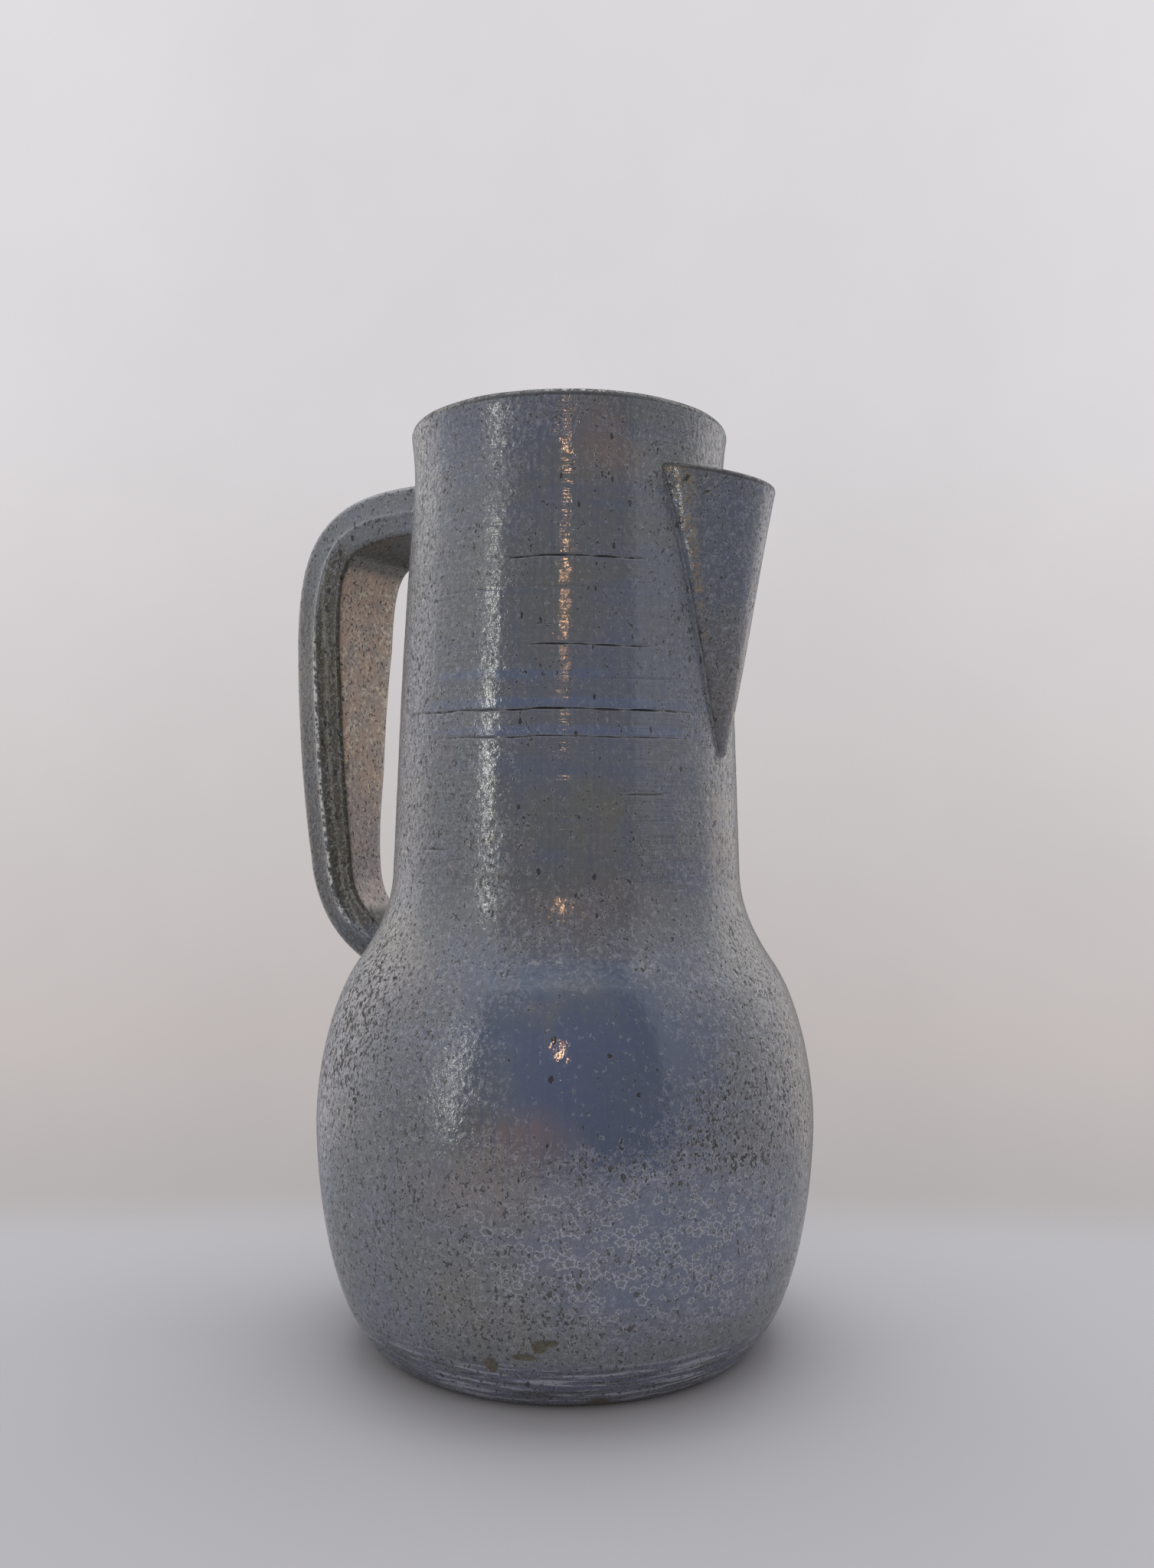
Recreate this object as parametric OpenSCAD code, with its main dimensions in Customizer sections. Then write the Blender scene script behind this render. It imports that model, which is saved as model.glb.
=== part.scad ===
// Stoneware ewer: a thrown belly and neck, an applied half-cone spout and a strap handle.
// Millimetres. Origin at the centre of the foot, +Z up, spout towards +X, handle towards -X.

/* [Overall] */
// Height of the rim above the table
height = 260; // [235:1:300]

/* [Belly] */
// Diameter of the flat foot
foot_d = 103.5; // [90:0.5:120]
// Largest diameter of the belly
belly_d = 142.2; // [130:0.1:160]
// Height of the largest diameter
belly_z = 62; // [52:1:72]
// Height of the top of the belly, on which the neck stands
seat_z = 114; // [106:1:122]
// Thickness of the belly wall
belly_wall = 7; // [5:0.5:9]
// Thickness of the floor
floor_t = 9; // [6:0.5:14]

/* [Neck] */
// Outer diameter of the neck where it stands on the belly
neck_d = 101.6; // [94:0.1:108]
// Outer diameter of the narrowest part, below the rim
waist_d = 90.1; // [84:0.1:98]
// Outer diameter of the rim
rim_d = 91.8; // [86:0.1:100]
// Depth of the flared stretch below the rim
rim_flare_h = 20; // [14:1:28]
// Thickness of the neck wall
neck_wall = 5; // [4:0.5:6.5]
// Height of the clay fillet up the neck, from the seat
shoulder_h = 18; // [12:1:24]

/* [Spout] */
// Depth of the spout's lip below the rim
lip_drop = 18; // [12:1:30]
// Length of the spout along the neck
spout_len = 75.5; // [60:0.5:90]
// Outer radius of the spout at its lip
lip_r = 19.8; // [16:0.1:23]
// Outer radius of the spout at its lower tip
tip_r = 2.4; // [1.6:0.2:4]
// Depth of the spout's axis inside the neck's outer face
spout_set = 0.8; // [0.6:0.1:1.6]
// Thickness of the spout wall
spout_wall = 4; // [3:0.5:5]
// Angle by which the lip falls away from the neck
lip_fall = 10; // [0:1:14]
// Rounding of the lip's edges
lip_round = 1.6; // [0.8:0.2:2]
// Depth of the top of the opening in the neck wall below the lip
window_gap = 3; // [1:0.5:8]
// Reach of the clay fillet on either side of the spout's seam
spout_fillet_w = 2.4; // [1.6:0.1:3.4]

/* [Handle] */
// Depth of the handle's upper root below the rim, to its centre line
grip_drop = 19.4; // [16:0.2:30]
// Height of the handle's lower root, on its centre line
grip_low_z = 105; // [98:1:110]
// Distance of the handle's outer face from the pot's axis
grip_reach = 96.5; // [88:0.5:110]
// Width of the strap at its upper root
strap_w_top = 31; // [24:0.5:36]
// Width of the strap at its lower root
strap_w_low = 15.5; // [12:0.5:22]
// Thickness of the strap at its upper root
strap_t_top = 16.6; // [13:0.2:19]
// Thickness of the strap where the hand holds it
strap_t_mid = 20.5; // [16:0.5:23]
// Thickness of the strap at its lower root
strap_t_low = 14.6; // [12:0.2:18]
// Height by which each side's ridge stands out from the inner face's edge
ridge_out = 1.3; // [0.5:0.1:3]
// Width of the outer face as a share of the inner face
outer_share = 0.74; // [0.6:0.02:0.9]
// Distance that the upper root stands out from the neck
root_top_len = 8; // [6:0.5:12]
// Distance that the lower root stands out from the belly
root_low_len = 9; // [6:0.5:13]
// Flare of the roots where they meet the pot
root_flare = 2.4; // [1.2:0.1:4]

/* [Hidden] */
$fn = 96;

glaze = [0.42, 0.46, 0.53];
glaze_dark = [0.33, 0.37, 0.45];
glaze_brown = [0.45, 0.40, 0.39];

foot_r = foot_d / 2;
belly_r = belly_d / 2;
neck_r = neck_d / 2;
waist_r = waist_d / 2;
rim_r = rim_d / 2;
waist_z = height - rim_flare_h;
lip_z = height - lip_drop;
tip_z = lip_z - spout_len;
grip_top_z = height - grip_drop;
throat_r = neck_r - neck_wall;

// Points on each curve of the pot's profile
curve_n = 14;
// Distance of the fillet's top below the lip's rounding
fillet_gap = 0.4;
// Depth to which the handle's roots run into the pot before they are cut to it
bury = 14;

// Cubic curve through a, towards b and c, to d
function curve(k, t) = let(u = 1 - t)
    u*u*u*k[0] + 3*u*u*t*k[1] + 3*u*t*t*k[2] + t*t*t*k[3];
function heading(k, t) = let(u = 1 - t, d = u*u*(k[1] - k[0]) + 2*u*t*(k[2] - k[1]) + t*t*(k[3] - k[2]))
    d / norm(d);
function along(k, t0, t1, n) = [for (i = [0:n]) curve(k, t0 + (t1 - t0)*i/n)];
function tail(list) = [for (i = [1:len(list) - 1]) list[i]];
function flip(list) = [for (i = [len(list) - 1:-1:0]) list[i]];
function mix(a, b, t) = a + (b - a)*t;
function ease(t) = t*t*(3 - 2*t);

// Outer profile, as [radius, height]: the foot swells to the belly, which closes in to the seat
swell = [[foot_r, 0], [foot_r + 0.95*(belly_r - foot_r), 0.15*belly_z],
    [belly_r, 0.97*belly_z], [belly_r, belly_z]];
dome = [[belly_r, belly_z], [belly_r, mix(belly_z, seat_z, 0.42)],
    [mix(neck_r, belly_r, 0.61), mix(seat_z, belly_z, 0.066)], [neck_r, seat_z]];
// The neck tapers to its waist and flares to the rim
taper = [[neck_r, seat_z], [mix(neck_r, waist_r, 0.26), mix(seat_z, waist_z, 1/3)],
    [mix(neck_r, waist_r, 0.47), mix(seat_z, waist_z, 2/3)], [waist_r, waist_z]];
waist_lead = 0.3*rim_flare_h;
waist_slope = (taper[3][0] - taper[2][0]) / (taper[3][1] - taper[2][1]);
flare = [[waist_r, waist_z], [waist_r + waist_slope*waist_lead, waist_z + waist_lead],
    [mix(waist_r, rim_r, 0.3), height - waist_lead], [rim_r, height - neck_wall/2]];
// The fillet leaves the dome and runs out on the neck. It runs further both ways where the bend is slighter.
shoulder_run = sqrt(shoulder_h / (belly_r - neck_r));
dome_end = 1 - min(0.6, 0.297*shoulder_run);
taper_start = 1.062*shoulder_run*shoulder_h / (waist_z - seat_z);
fillet_low = curve(dome, dome_end);
fillet_high = curve(taper, taper_start);
hollow = [fillet_low, fillet_low + 0.67*norm([neck_r, seat_z] - fillet_low)*heading(dome, dome_end),
    fillet_high - 0.62*norm([neck_r, seat_z] - fillet_high)*heading(taper, taper_start), fillet_high];

dome_low = along(dome, 0, dome_end, curve_n);
dome_high = along(dome, dome_end, 1, curve_n/2);
taper_low = along(taper, 0, taper_start, curve_n/2);
taper_high = along(taper, taper_start, 1, curve_n);
hollow_pts = along(hollow, 0, 1, curve_n);
flare_pts = along(flare, 0, 1, curve_n/2);
belly_outer = concat(along(swell, 0, 1, curve_n), tail(dome_low), tail(dome_high));
neck_outer = concat(taper_low, tail(taper_high), tail(flare_pts));
pot_outer = concat(along(swell, 0, 1, curve_n), tail(dome_low), tail(hollow_pts),
    tail(taper_high), tail(flare_pts));

// Radius of the finished pot at a height
function pot_r(z) = lookup(z, [for (p = pot_outer) [p[1], p[0]]]);

// Inner profile of the belly, upwards from the floor
inner_r = belly_r - belly_wall;
bowl = [[0.73*foot_r, floor_t], [inner_r, floor_t], [inner_r, 0.65*belly_z], [inner_r, belly_z]];
throat_z = seat_z - belly_wall;
vault = [[inner_r, belly_z], [inner_r, mix(belly_z, throat_z, 0.42)],
    [mix(throat_r, inner_r, 0.61), mix(throat_z, belly_z, 0.066)], [throat_r, throat_z]];
belly_inner = concat(along(bowl, 0, 1, curve_n), tail(along(vault, 0, 1, curve_n)));
// Inner profile of the neck, upwards from the seat
neck_inner = [for (p = neck_outer) [p[0] - neck_wall, p[1]]];

// Solid of the pot's outer form, from which everything applied to it is cut.
// It is turned a quarter, so that the line where the revolve closes is away from the spout and the handle.
module pot_form() {
    rotate([0, 0, 90]) rotate_extrude() polygon(concat([[0, 0]], pot_outer, [[0, height]]));
}

module belly() {
    color(glaze)
        rotate_extrude()
            polygon(concat([[0, 0]], belly_outer, [[throat_r, seat_z]], flip(belly_inner), [[0, floor_t]]));
}

module neck() {
    rim_c = [rim_r - neck_wall/2, height - neck_wall/2];
    rim_pts = [for (a = [22.5:22.5:157.5]) rim_c + neck_wall/2*[cos(a), sin(a)]];
    color(glaze_dark)
        difference() {
            rotate_extrude() polygon(concat(neck_outer, rim_pts, flip(neck_inner)));
            neck_window();
        }
}

// Clay fillet pressed into the bend between the belly and the neck
module shoulder_fillet() {
    color(glaze)
        rotate_extrude()
            polygon(concat(hollow_pts, flip(tail(taper_low)), flip(dome_high)));
}

// The spout is a flared cone whose axis runs up the neck, just inside its outer face
spout_foot = [pot_r(tip_z) - spout_set, tip_z];
spout_head = [pot_r(lip_z) - spout_set, lip_z];
spout_lean = atan2(spout_foot[0] - spout_head[0], spout_len);
axis_len = norm(spout_head - spout_foot);
lip_over = lip_r;
cone = [[tip_r, 0], [mix(tip_r, lip_r, 0.28), axis_len/3], [mix(tip_r, lip_r, 0.58), 2*axis_len/3],
    [lip_r, axis_len]];
cone_pts = along(cone, 0, 1, curve_n);
lip_spread = (lip_r - cone[2][0]) / (axis_len/3);
// Outer radius of the spout at a distance up its axis
function spout_r(s) = s > axis_len ? lip_r + lip_spread*(s - axis_len)
    : lookup(s, [for (p = cone_pts) [p[1], p[0]]]);

module spout_place() {
    translate([spout_foot[0], 0, spout_foot[1]]) rotate([0, -spout_lean, 0]) rotate([0, 0, 180]) children();
}

module lip_place() {
    translate([spout_head[0], 0, spout_head[1]]) rotate([0, lip_fall, 0]) rotate([0, 0, 180]) children();
}

// Half space below the lip, with the lip's outer edge rounded over
module lip_limit() {
    edge_r = lip_r - lip_round*sin(lip_fall);
    round_pts = [for (a = [0:15:90]) [edge_r - lip_round*(1 - cos(a)), -lip_round*(1 - sin(a))]];
    lip_place()
        rotate_extrude()
            polygon(concat([[0, -2*spout_len], [2*lip_r, -2*spout_len], [2*lip_r, -lip_round]],
                round_pts, [[0, 0]]));
}

module spout_cone() {
    spout_place()
        rotate_extrude()
            polygon(concat([[0, -tip_r], [0.7*tip_r, -0.7*tip_r]], cone_pts,
                [[spout_r(axis_len + lip_over), axis_len + lip_over], [0, axis_len + lip_over]]));
}

// Channel inside the spout, open at the top
module spout_channel() {
    channel = [for (p = cone_pts) if (p[0] > 1.35*spout_wall) p - [spout_wall, 0]];
    top_r = lip_r - spout_wall + lip_spread*lip_over;
    spout_place()
        rotate_extrude()
            polygon(concat([[0, channel[0][1] - channel[0][0]]], channel,
                [[top_r, axis_len + lip_over], [0, axis_len + lip_over]]));
}

// Half space that ends a little below the lip
module below_lip(gap) {
    lip_place()
        translate([-2*lip_r, -2*lip_r, -2*spout_len]) cube([4*lip_r, 4*lip_r, 2*spout_len - gap]);
}

// The channel carries on through the neck wall, up to just below the lip
module neck_window() {
    intersection() {
        spout_channel();
        below_lip(window_gap);
    }
}

module spout() {
    color(glaze_dark)
        intersection() {
            difference() {
                spout_cone();
                spout_channel();
                pot_form();
            }
            lip_limit();
        }
}

// Clay fillet along the spout's seam: a wider cone set further into the neck, which meets the neck and the
// spout's flank at about the same distance from the seam
fillet_s = spout_len - lip_round - fillet_gap;
// Sides of the round forms that leave this thin piece
fine_n = 480;
function spout_hub(s) = mix(spout_foot[0], spout_head[0], s/spout_len);
function seam_at(s) = let(pot = pot_r(tip_z + s), hub = spout_hub(s), r = spout_r(s),
    swing = acos((hub*hub + pot*pot - r*r) / (2*hub*pot))) pot*[cos(swing), sin(swing)];
function neck_mark(s) = let(seam = seam_at(s), pot = norm(seam),
    swing = atan2(seam[1], seam[0]) + spout_fillet_w/pot*180/PI) pot*[cos(swing), sin(swing)];
function flank_mark(s) = let(hub = [spout_hub(s), 0], r = spout_r(s), seam = seam_at(s) - hub,
    swing = atan2(seam[1], seam[0]), turn = min(0.6*swing, spout_fillet_w/r*180/PI))
    hub + r*[cos(swing - turn), sin(swing - turn)];
function fillet_hub(s) = let(a = neck_mark(s), b = flank_mark(s)) (b*b - a*a) / (2*(b[0] - a[0]));
function fillet_r(s) = norm(neck_mark(s) - [mix(fillet_hub(0), fillet_hub(fillet_s), s/fillet_s), 0]);

module spout_fillet() {
    low_r = fillet_r(0);
    lean = atan2(fillet_hub(0) - fillet_hub(fillet_s), fillet_s);
    sides = [for (i = [0:curve_n]) let(s = fillet_s*i/curve_n) [fillet_r(s), s/cos(lean)]];
    color(glaze_dark)
        difference() {
            translate([fillet_hub(0), 0, tip_z])
                rotate([0, -lean, 0])
                    rotate([0, 0, 180])
                        rotate_extrude($fn = fine_n)
                            polygon(concat([[0, -low_r], [0.7*low_r, -0.7*low_r]], sides,
                                [[0, fillet_s/cos(lean)]]));
            spout_cone($fn = fine_n);
            pot_form($fn = fine_n);
        }
}

// Solid skin through rings of the same number of points, closed by a flat cap at each end
module loft(rings) {
    n = len(rings[0]);
    last = len(rings) - 1;
    walls = [for (i = [0:last - 1]) for (j = [0:n - 1])
        let(a = i*n + j, b = i*n + (j + 1) % n)
        each [[a, a + n, b + n], [a, b + n, b]]];
    polyhedron(
        points = [for (r = rings) each r],
        faces = concat(walls, [[for (j = [0:n - 1]) j]], [[for (j = [n - 1:-1:0]) last*n + j]]));
}

// The strap's centre line, in [distance from the axis, height]: over the top, down the back, in to the belly
grip_c = grip_reach - strap_t_mid/2;
pot_top_r = pot_r(grip_top_z);
pot_low_r = pot_r(grip_low_z);
arm_len = grip_c - pot_top_r;
back_top = [grip_c - 0.029*arm_len, grip_top_z - 0.91*arm_len];
back_low = [grip_c - 0.063*arm_len, grip_low_z + 1.2*(grip_c - pot_low_r)];
over_top = [[pot_top_r, grip_top_z], [pot_top_r + 0.78*arm_len, grip_top_z],
    back_top + [-0.024*arm_len, 0.73*arm_len], back_top];
down_back = [back_top, mix(back_top, back_low, 0.3) + [0.039*arm_len, 0],
    mix(back_top, back_low, 0.7) + [0.0485*arm_len, 0], back_low];
in_low = [back_low, [back_low[0] - 0.029*arm_len, mix(back_low[1], grip_low_z, 0.55)],
    [mix(back_low[0], pot_low_r, 0.4), grip_low_z + 0.2*(back_low[1] - grip_low_z)],
    [pot_low_r, grip_low_z]];
strap_path = [over_top, down_back, in_low];
function leg(u) = min(2, floor(u));
function path_at(u) = curve(strap_path[leg(u)], u - leg(u));
function path_dir(u) = heading(strap_path[leg(u)], u - leg(u));
function strap_w(u) = u < 1 ? mix(strap_w_top, 0.94*strap_w_top, u)
    : u < 2 ? mix(0.94*strap_w_top, 1.12*strap_w_low, u - 1)
    : mix(1.12*strap_w_low, strap_w_low, u - 2);
function strap_t(u) = u < 1.3 ? mix(strap_t_top, strap_t_mid, ease(u/1.3))
    : mix(strap_t_mid, strap_t_low, ease((u - 1.3)/1.7));

// Section of the strap: flat inner face, a ridge down each side, narrower outer face, edges eased
edge = 1.4;
ridge_at = 0.45;
crown = 0.25;
function strap_half(w, t, out) = [
    [-t/2, w/2 - edge], [-t/2 + 0.3*edge, w/2 - 0.3*edge], [-t/2 + edge, w/2],
    [-t/2 + ridge_at*t - edge, w/2 + out - 0.1*edge], [-t/2 + ridge_at*t, w/2 + out],
    [-t/2 + ridge_at*t + edge, w/2 + out - 0.2*edge],
    [t/2 - edge, outer_share*w/2 + 0.5*edge], [t/2 - 0.3*edge, outer_share*w/2 - 0.3*edge],
    [t/2, outer_share*w/2 - edge], [t/2 + crown, 0.4*outer_share*w/2]];
// Ring of that section about a point of the path
function strap_ring(at, dir, w, t, out) = let(across = [-dir[1], dir[0]], half = strap_half(w, t, out))
    [for (p = concat(half, [for (q = flip(half)) [q[0], -q[1]]]))
        let(rz = at + p[0]*across) [-rz[0], p[1], rz[1]]];
function path_ring(u) = strap_ring(path_at(u), path_dir(u), strap_w(u), strap_t(u), ridge_out);

// Where the strap meets its two roots, along the path; each leg is somewhat longer than the reach it spans
root_top_u = root_top_len / (1.35*arm_len);
root_low_u = 3 - root_low_len / (1.55*(grip_c - pot_low_r));
strap_n = 54;

module handle() {
    color(glaze_brown)
        loft([for (i = [0:strap_n]) path_ring(mix(root_top_u, root_low_u, i/strap_n))]);
}

// Rings from the strap's end at u0 to the pot at u1, flaring, then on into the pot
root_n = 8;
function root_rings(u0, u1) = let(end = path_at(u1), dir = path_dir(u1), sign = u1 > u0 ? 1 : -1)
    concat(
        [for (i = [0:root_n]) let(u = mix(u0, u1, i/root_n), grow = 2*root_flare*pow(i/root_n, 2.5))
            strap_ring(path_at(u), path_dir(u), strap_w(u) + grow, strap_t(u) + grow, ridge_out)],
        [strap_ring(end + sign*bury*dir, dir, strap_w(u1) + 2*root_flare, strap_t(u1) + 2*root_flare,
            ridge_out)]);

module handle_upper_root() {
    color(glaze_brown)
        difference() {
            loft(flip(root_rings(root_top_u, 0)));
            pot_form();
        }
}

module handle_lower_root() {
    color(glaze_brown)
        difference() {
            loft(root_rings(root_low_u, 3));
            pot_form();
        }
}

belly();
neck();
shoulder_fillet();
spout();
spout_fillet();
handle();
handle_upper_root();
handle_lower_root();
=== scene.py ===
import math

import bmesh
import bpy
import numpy as np
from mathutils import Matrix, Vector


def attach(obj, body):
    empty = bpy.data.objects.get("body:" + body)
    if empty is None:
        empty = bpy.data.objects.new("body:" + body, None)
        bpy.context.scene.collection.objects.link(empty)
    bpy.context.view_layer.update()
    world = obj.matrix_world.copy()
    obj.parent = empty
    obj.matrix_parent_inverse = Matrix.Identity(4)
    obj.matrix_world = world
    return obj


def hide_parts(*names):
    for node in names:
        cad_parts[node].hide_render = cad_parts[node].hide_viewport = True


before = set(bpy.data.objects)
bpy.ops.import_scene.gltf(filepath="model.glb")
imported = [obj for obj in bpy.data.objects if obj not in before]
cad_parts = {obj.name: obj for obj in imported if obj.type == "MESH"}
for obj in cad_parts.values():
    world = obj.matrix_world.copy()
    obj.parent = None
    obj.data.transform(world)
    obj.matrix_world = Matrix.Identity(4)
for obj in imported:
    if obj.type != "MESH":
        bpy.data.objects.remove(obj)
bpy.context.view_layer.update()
scene = bpy.context.scene
scene.view_settings.view_transform = "Standard"
mm = 0.001
tau = 2 * math.pi
rng = np.random.default_rng(26)
print("frame:", ", ".join(sorted(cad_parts)))


# Curves, in millimetres as (radius, height)
def bezier(k, t):
    k, t = np.asarray(k, float), np.atleast_1d(np.asarray(t, float))[:, None]
    u = 1 - t
    return u**3 * k[0] + 3 * u * u * t * k[1] + 3 * u * t * t * k[2] + t**3 * k[3]


def heading(k, t):
    k, t = np.asarray(k, float), np.atleast_1d(np.asarray(t, float))[:, None]
    u = 1 - t
    d = u * u * (k[1] - k[0]) + 2 * u * t * (k[2] - k[1]) + t * t * (k[3] - k[2])
    return d / np.linalg.norm(d, axis=1)[:, None]


def run(k, start, end, count):
    return bezier(k, np.linspace(start, end, count))


def between(a, b, t):
    return a + (b - a) * t


def ease(t):
    t = np.clip(t, 0, 1)
    return t * t * (3 - 2 * t)


def closing(wide, low, narrow, high):
    return [(wide, low), (wide, between(low, high, 0.42)),
            (between(narrow, wide, 0.61), between(high, low, 0.066)), (narrow, high)]


pot = {"height": 260, "footR": 51.75, "bellyR": 71.1, "bellyZ": 62, "seatZ": 114, "bellyWall": 7, "floorT": 9,
       "neckR": 50.8, "waistR": 45.05, "rimR": 45.9, "flareH": 20, "neckWall": 5, "filletH": 18,
       "footRound": 1.8, "tuck": 0.35, "innerTop": 9}
potH, bellyZ, seatZ, neckT = pot["height"], pot["bellyZ"], pot["seatZ"], pot["neckWall"]
footR, bellyR, neckR, waistR, rimR = (pot[key] for key in ("footR", "bellyR", "neckR", "waistR", "rimR"))
neckTop = potH - pot["flareH"]
throatR = neckR - neckT
innerR = bellyR - pot["bellyWall"]

swell = [(footR, 0), (between(footR, bellyR, 0.95), 0.15 * bellyZ),
         (bellyR, 0.97 * bellyZ), (bellyR, bellyZ)]
dome = closing(bellyR, bellyZ, neckR, seatZ)
taper = [(neckR, seatZ),
         (between(neckR, waistR, 0.26), between(seatZ, neckTop, 1 / 3)),
         (between(neckR, waistR, 0.47), between(seatZ, neckTop, 2 / 3)),
         (waistR, neckTop)]
lead = 0.3 * pot["flareH"]
waistSlope = (taper[3][0] - taper[2][0]) / (taper[3][1] - taper[2][1])
flare = [(waistR, neckTop), (waistR + waistSlope * lead, neckTop + lead),
         (between(waistR, rimR, 0.3), potH - lead),
         (rimR, potH - neckT / 2)]
domeEnd = 1 - 0.297 * math.sqrt(pot["filletH"] / (bellyR - neckR))
taperStart = pot["filletH"] / (neckTop - seatZ)
filletLow, filletHigh = bezier(dome, domeEnd)[0], bezier(taper, taperStart)[0]
hollow = [filletLow, filletLow + 0.67 * math.dist(filletLow, dome[3]) * heading(dome, domeEnd)[0],
          filletHigh - 0.62 * pot["filletH"] * heading(taper, taperStart)[0], filletHigh]
bowl = [(0.73 * footR, pot["floorT"]), (innerR, pot["floorT"]), (innerR, 0.65 * bellyZ),
        (innerR, bellyZ)]
vault = closing(innerR, bellyZ, throatR, seatZ - pot["bellyWall"])

# The finished outside of the pot, for everything that is luted to it
outside = np.vstack([run(swell, 0, 1, 160), run(dome, 0, domeEnd, 160)[1:], run(hollow, 0, 1, 80)[1:],
                     run(taper, taperStart, 1, 160)[1:], run(flare, 0, 1, 60)[1:]])


def potR(z):
    return np.interp(z, outside[:, 1], outside[:, 0])


# Mesh helpers
creaseAngle = 38  # edges bent further than this stay sharp, in degrees


def addObject(name, data):
    made = bpy.data.objects.new(name, data)
    scene.collection.objects.link(made)
    return made


def setAttributes(mesh, attributes):
    for key, values in attributes.items():
        mesh.attributes.new(key, "FLOAT", "POINT").data.foreach_set("value", np.asarray(values, np.float32))


def smoothMesh(mesh, sharp=creaseAngle):
    mesh.polygons.foreach_set("use_smooth", [True] * len(mesh.polygons))
    mesh.set_sharp_from_angle(angle=math.radians(sharp))
    mesh.update()


def turnOutward(mesh, weld=0):
    work = bmesh.new()
    work.from_mesh(mesh)
    if weld:
        bmesh.ops.remove_doubles(work, verts=work.verts, dist=weld)
        bmesh.ops.dissolve_degenerate(work, edges=work.edges, dist=weld)
    bmesh.ops.recalc_face_normals(work, faces=work.faces)
    if work.calc_volume(signed=True) < 0:
        bmesh.ops.reverse_faces(work, faces=work.faces)
    work.to_mesh(mesh)
    work.free()


def makeMesh(name, points, faces, glaze, attributes, sharp=creaseAngle, weld=0):
    mesh = bpy.data.meshes.new(name)
    mesh.from_pydata([tuple(p) for p in np.asarray(points) * mm], [], faces)
    setAttributes(mesh, attributes)
    mesh.validate()
    turnOutward(mesh, weld)
    smoothMesh(mesh, sharp)
    mesh.materials.append(glaze)
    return addObject(name, mesh)


def bake(obj, glaze):
    evaluated = obj.evaluated_get(bpy.context.evaluated_depsgraph_get())
    mesh = bpy.data.meshes.new_from_object(evaluated)
    obj.modifiers.clear()
    old = obj.data
    obj.data = mesh
    bpy.data.meshes.remove(old)
    mesh.materials.clear()  # one glaze on every face, the cut ones too
    mesh.materials.append(glaze)
    mesh.polygons.foreach_set("material_index", [0] * len(mesh.polygons))
    smoothMesh(mesh)


def tubeFaces(rows, ring, capEnd=True):
    faces = [tuple(range(ring - 1, -1, -1))]
    for i in range(rows - 1):
        for j in range(ring):
            a, b = i * ring + j, i * ring + (j + 1) % ring
            faces.append((a, b, b + ring, a + ring))
    if capEnd:
        faces.append(tuple(range((rows - 1) * ring, rows * ring)))
    return faces


# Node helpers: a Flow carries one output of a node, so that geometry and shader trees read as formulas
class Flow:
    def __init__(self, socket):
        self.socket, self.tree = socket, socket.id_data

    def beside(self, key):
        return Flow(self.socket.node.outputs[key])

    def __add__(self, other):
        return calc("ADD", self, other)

    def __sub__(self, other):
        return calc("SUBTRACT", self, other)

    def __rsub__(self, other):
        return calc("SUBTRACT", other, self)

    def __mul__(self, other):
        return calc("MULTIPLY", self, other)

    def __truediv__(self, other):
        return calc("DIVIDE", self, other)

    __radd__, __rmul__ = __add__, __mul__


def addNode(tree, kind, inputs=None, output=0, **settings):
    made = tree.nodes.new(kind)
    for key, value in settings.items():
        setattr(made, key, value)
    for key, value in (inputs or {}).items():
        if isinstance(value, Flow):
            tree.links.new(value.socket, made.inputs[key])
        else:
            made.inputs[key].default_value = value
    return Flow(made.outputs[output]) if made.outputs else None


def treeOf(*values):
    return next(value.tree for value in values if isinstance(value, Flow))


def calc(operation, *values):
    return addNode(treeOf(*values), "ShaderNodeMath", dict(enumerate(values)), operation=operation)


def vectorCalc(operation, *values, output="Vector"):
    inputs = dict(enumerate(values))
    return addNode(treeOf(*values), "ShaderNodeVectorMath", inputs, output, operation=operation)


def scaled(vector, factor):
    inputs = {0: vector, "Scale": factor}
    return addNode(vector.tree, "ShaderNodeVectorMath", inputs, "Vector", operation="SCALE")


def dot(vector, way):
    return vectorCalc("DOT_PRODUCT", vector, tuple(way), output="Value")


def joinXyz(x, y, z):
    return addNode(treeOf(x, y, z), "ShaderNodeCombineXYZ", {0: x, 1: y, 2: z})


def splitXyz(vector):
    made = addNode(vector.tree, "ShaderNodeSeparateXYZ", {0: vector})
    return [made.beside(key) for key in "XYZ"]


def noise(vector, scale=1.0, detail=2.0, roughness=0.5, output=0):
    return addNode(vector.tree, "ShaderNodeTexNoise", {
        "Vector": vector, "Scale": scale, "Detail": detail, "Roughness": roughness}, output)


def shaken(vector, point, grain, amount):
    push = vectorCalc("SUBTRACT", noise(point, 1 / grain, output="Color"), (0.5, 0.5, 0.5))
    return vectorCalc("ADD", vector, scaled(push, amount))


def cells(vector, dimensions, **settings):
    return addNode(vector.tree, "ShaderNodeTexVoronoi", {"Vector": vector, "Scale": 1.0}, "Distance",
                   voronoi_dimensions=dimensions, **settings)


def ramp(value, low, high, start=0.0, end=1.0, shape="SMOOTHSTEP"):
    inputs = dict(enumerate((value, low, high, start, end)))
    return addNode(value.tree, "ShaderNodeMapRange", inputs, interpolation_type=shape)


def mixColour(share, a, b, blend="MIX"):
    inputs = {0: share, 6: a, 7: b}
    return addNode(treeOf(share, a, b), "ShaderNodeMix", inputs, 2, data_type="RGBA", blend_type=blend)


def mixValue(share, a, b):
    return a + share * (b - a)


vectorKind = "NodeSocketVector"
socketKinds = {"VALUE": "NodeSocketFloat", "VECTOR": vectorKind, "GEOMETRY": "NodeSocketGeometry"}


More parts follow.
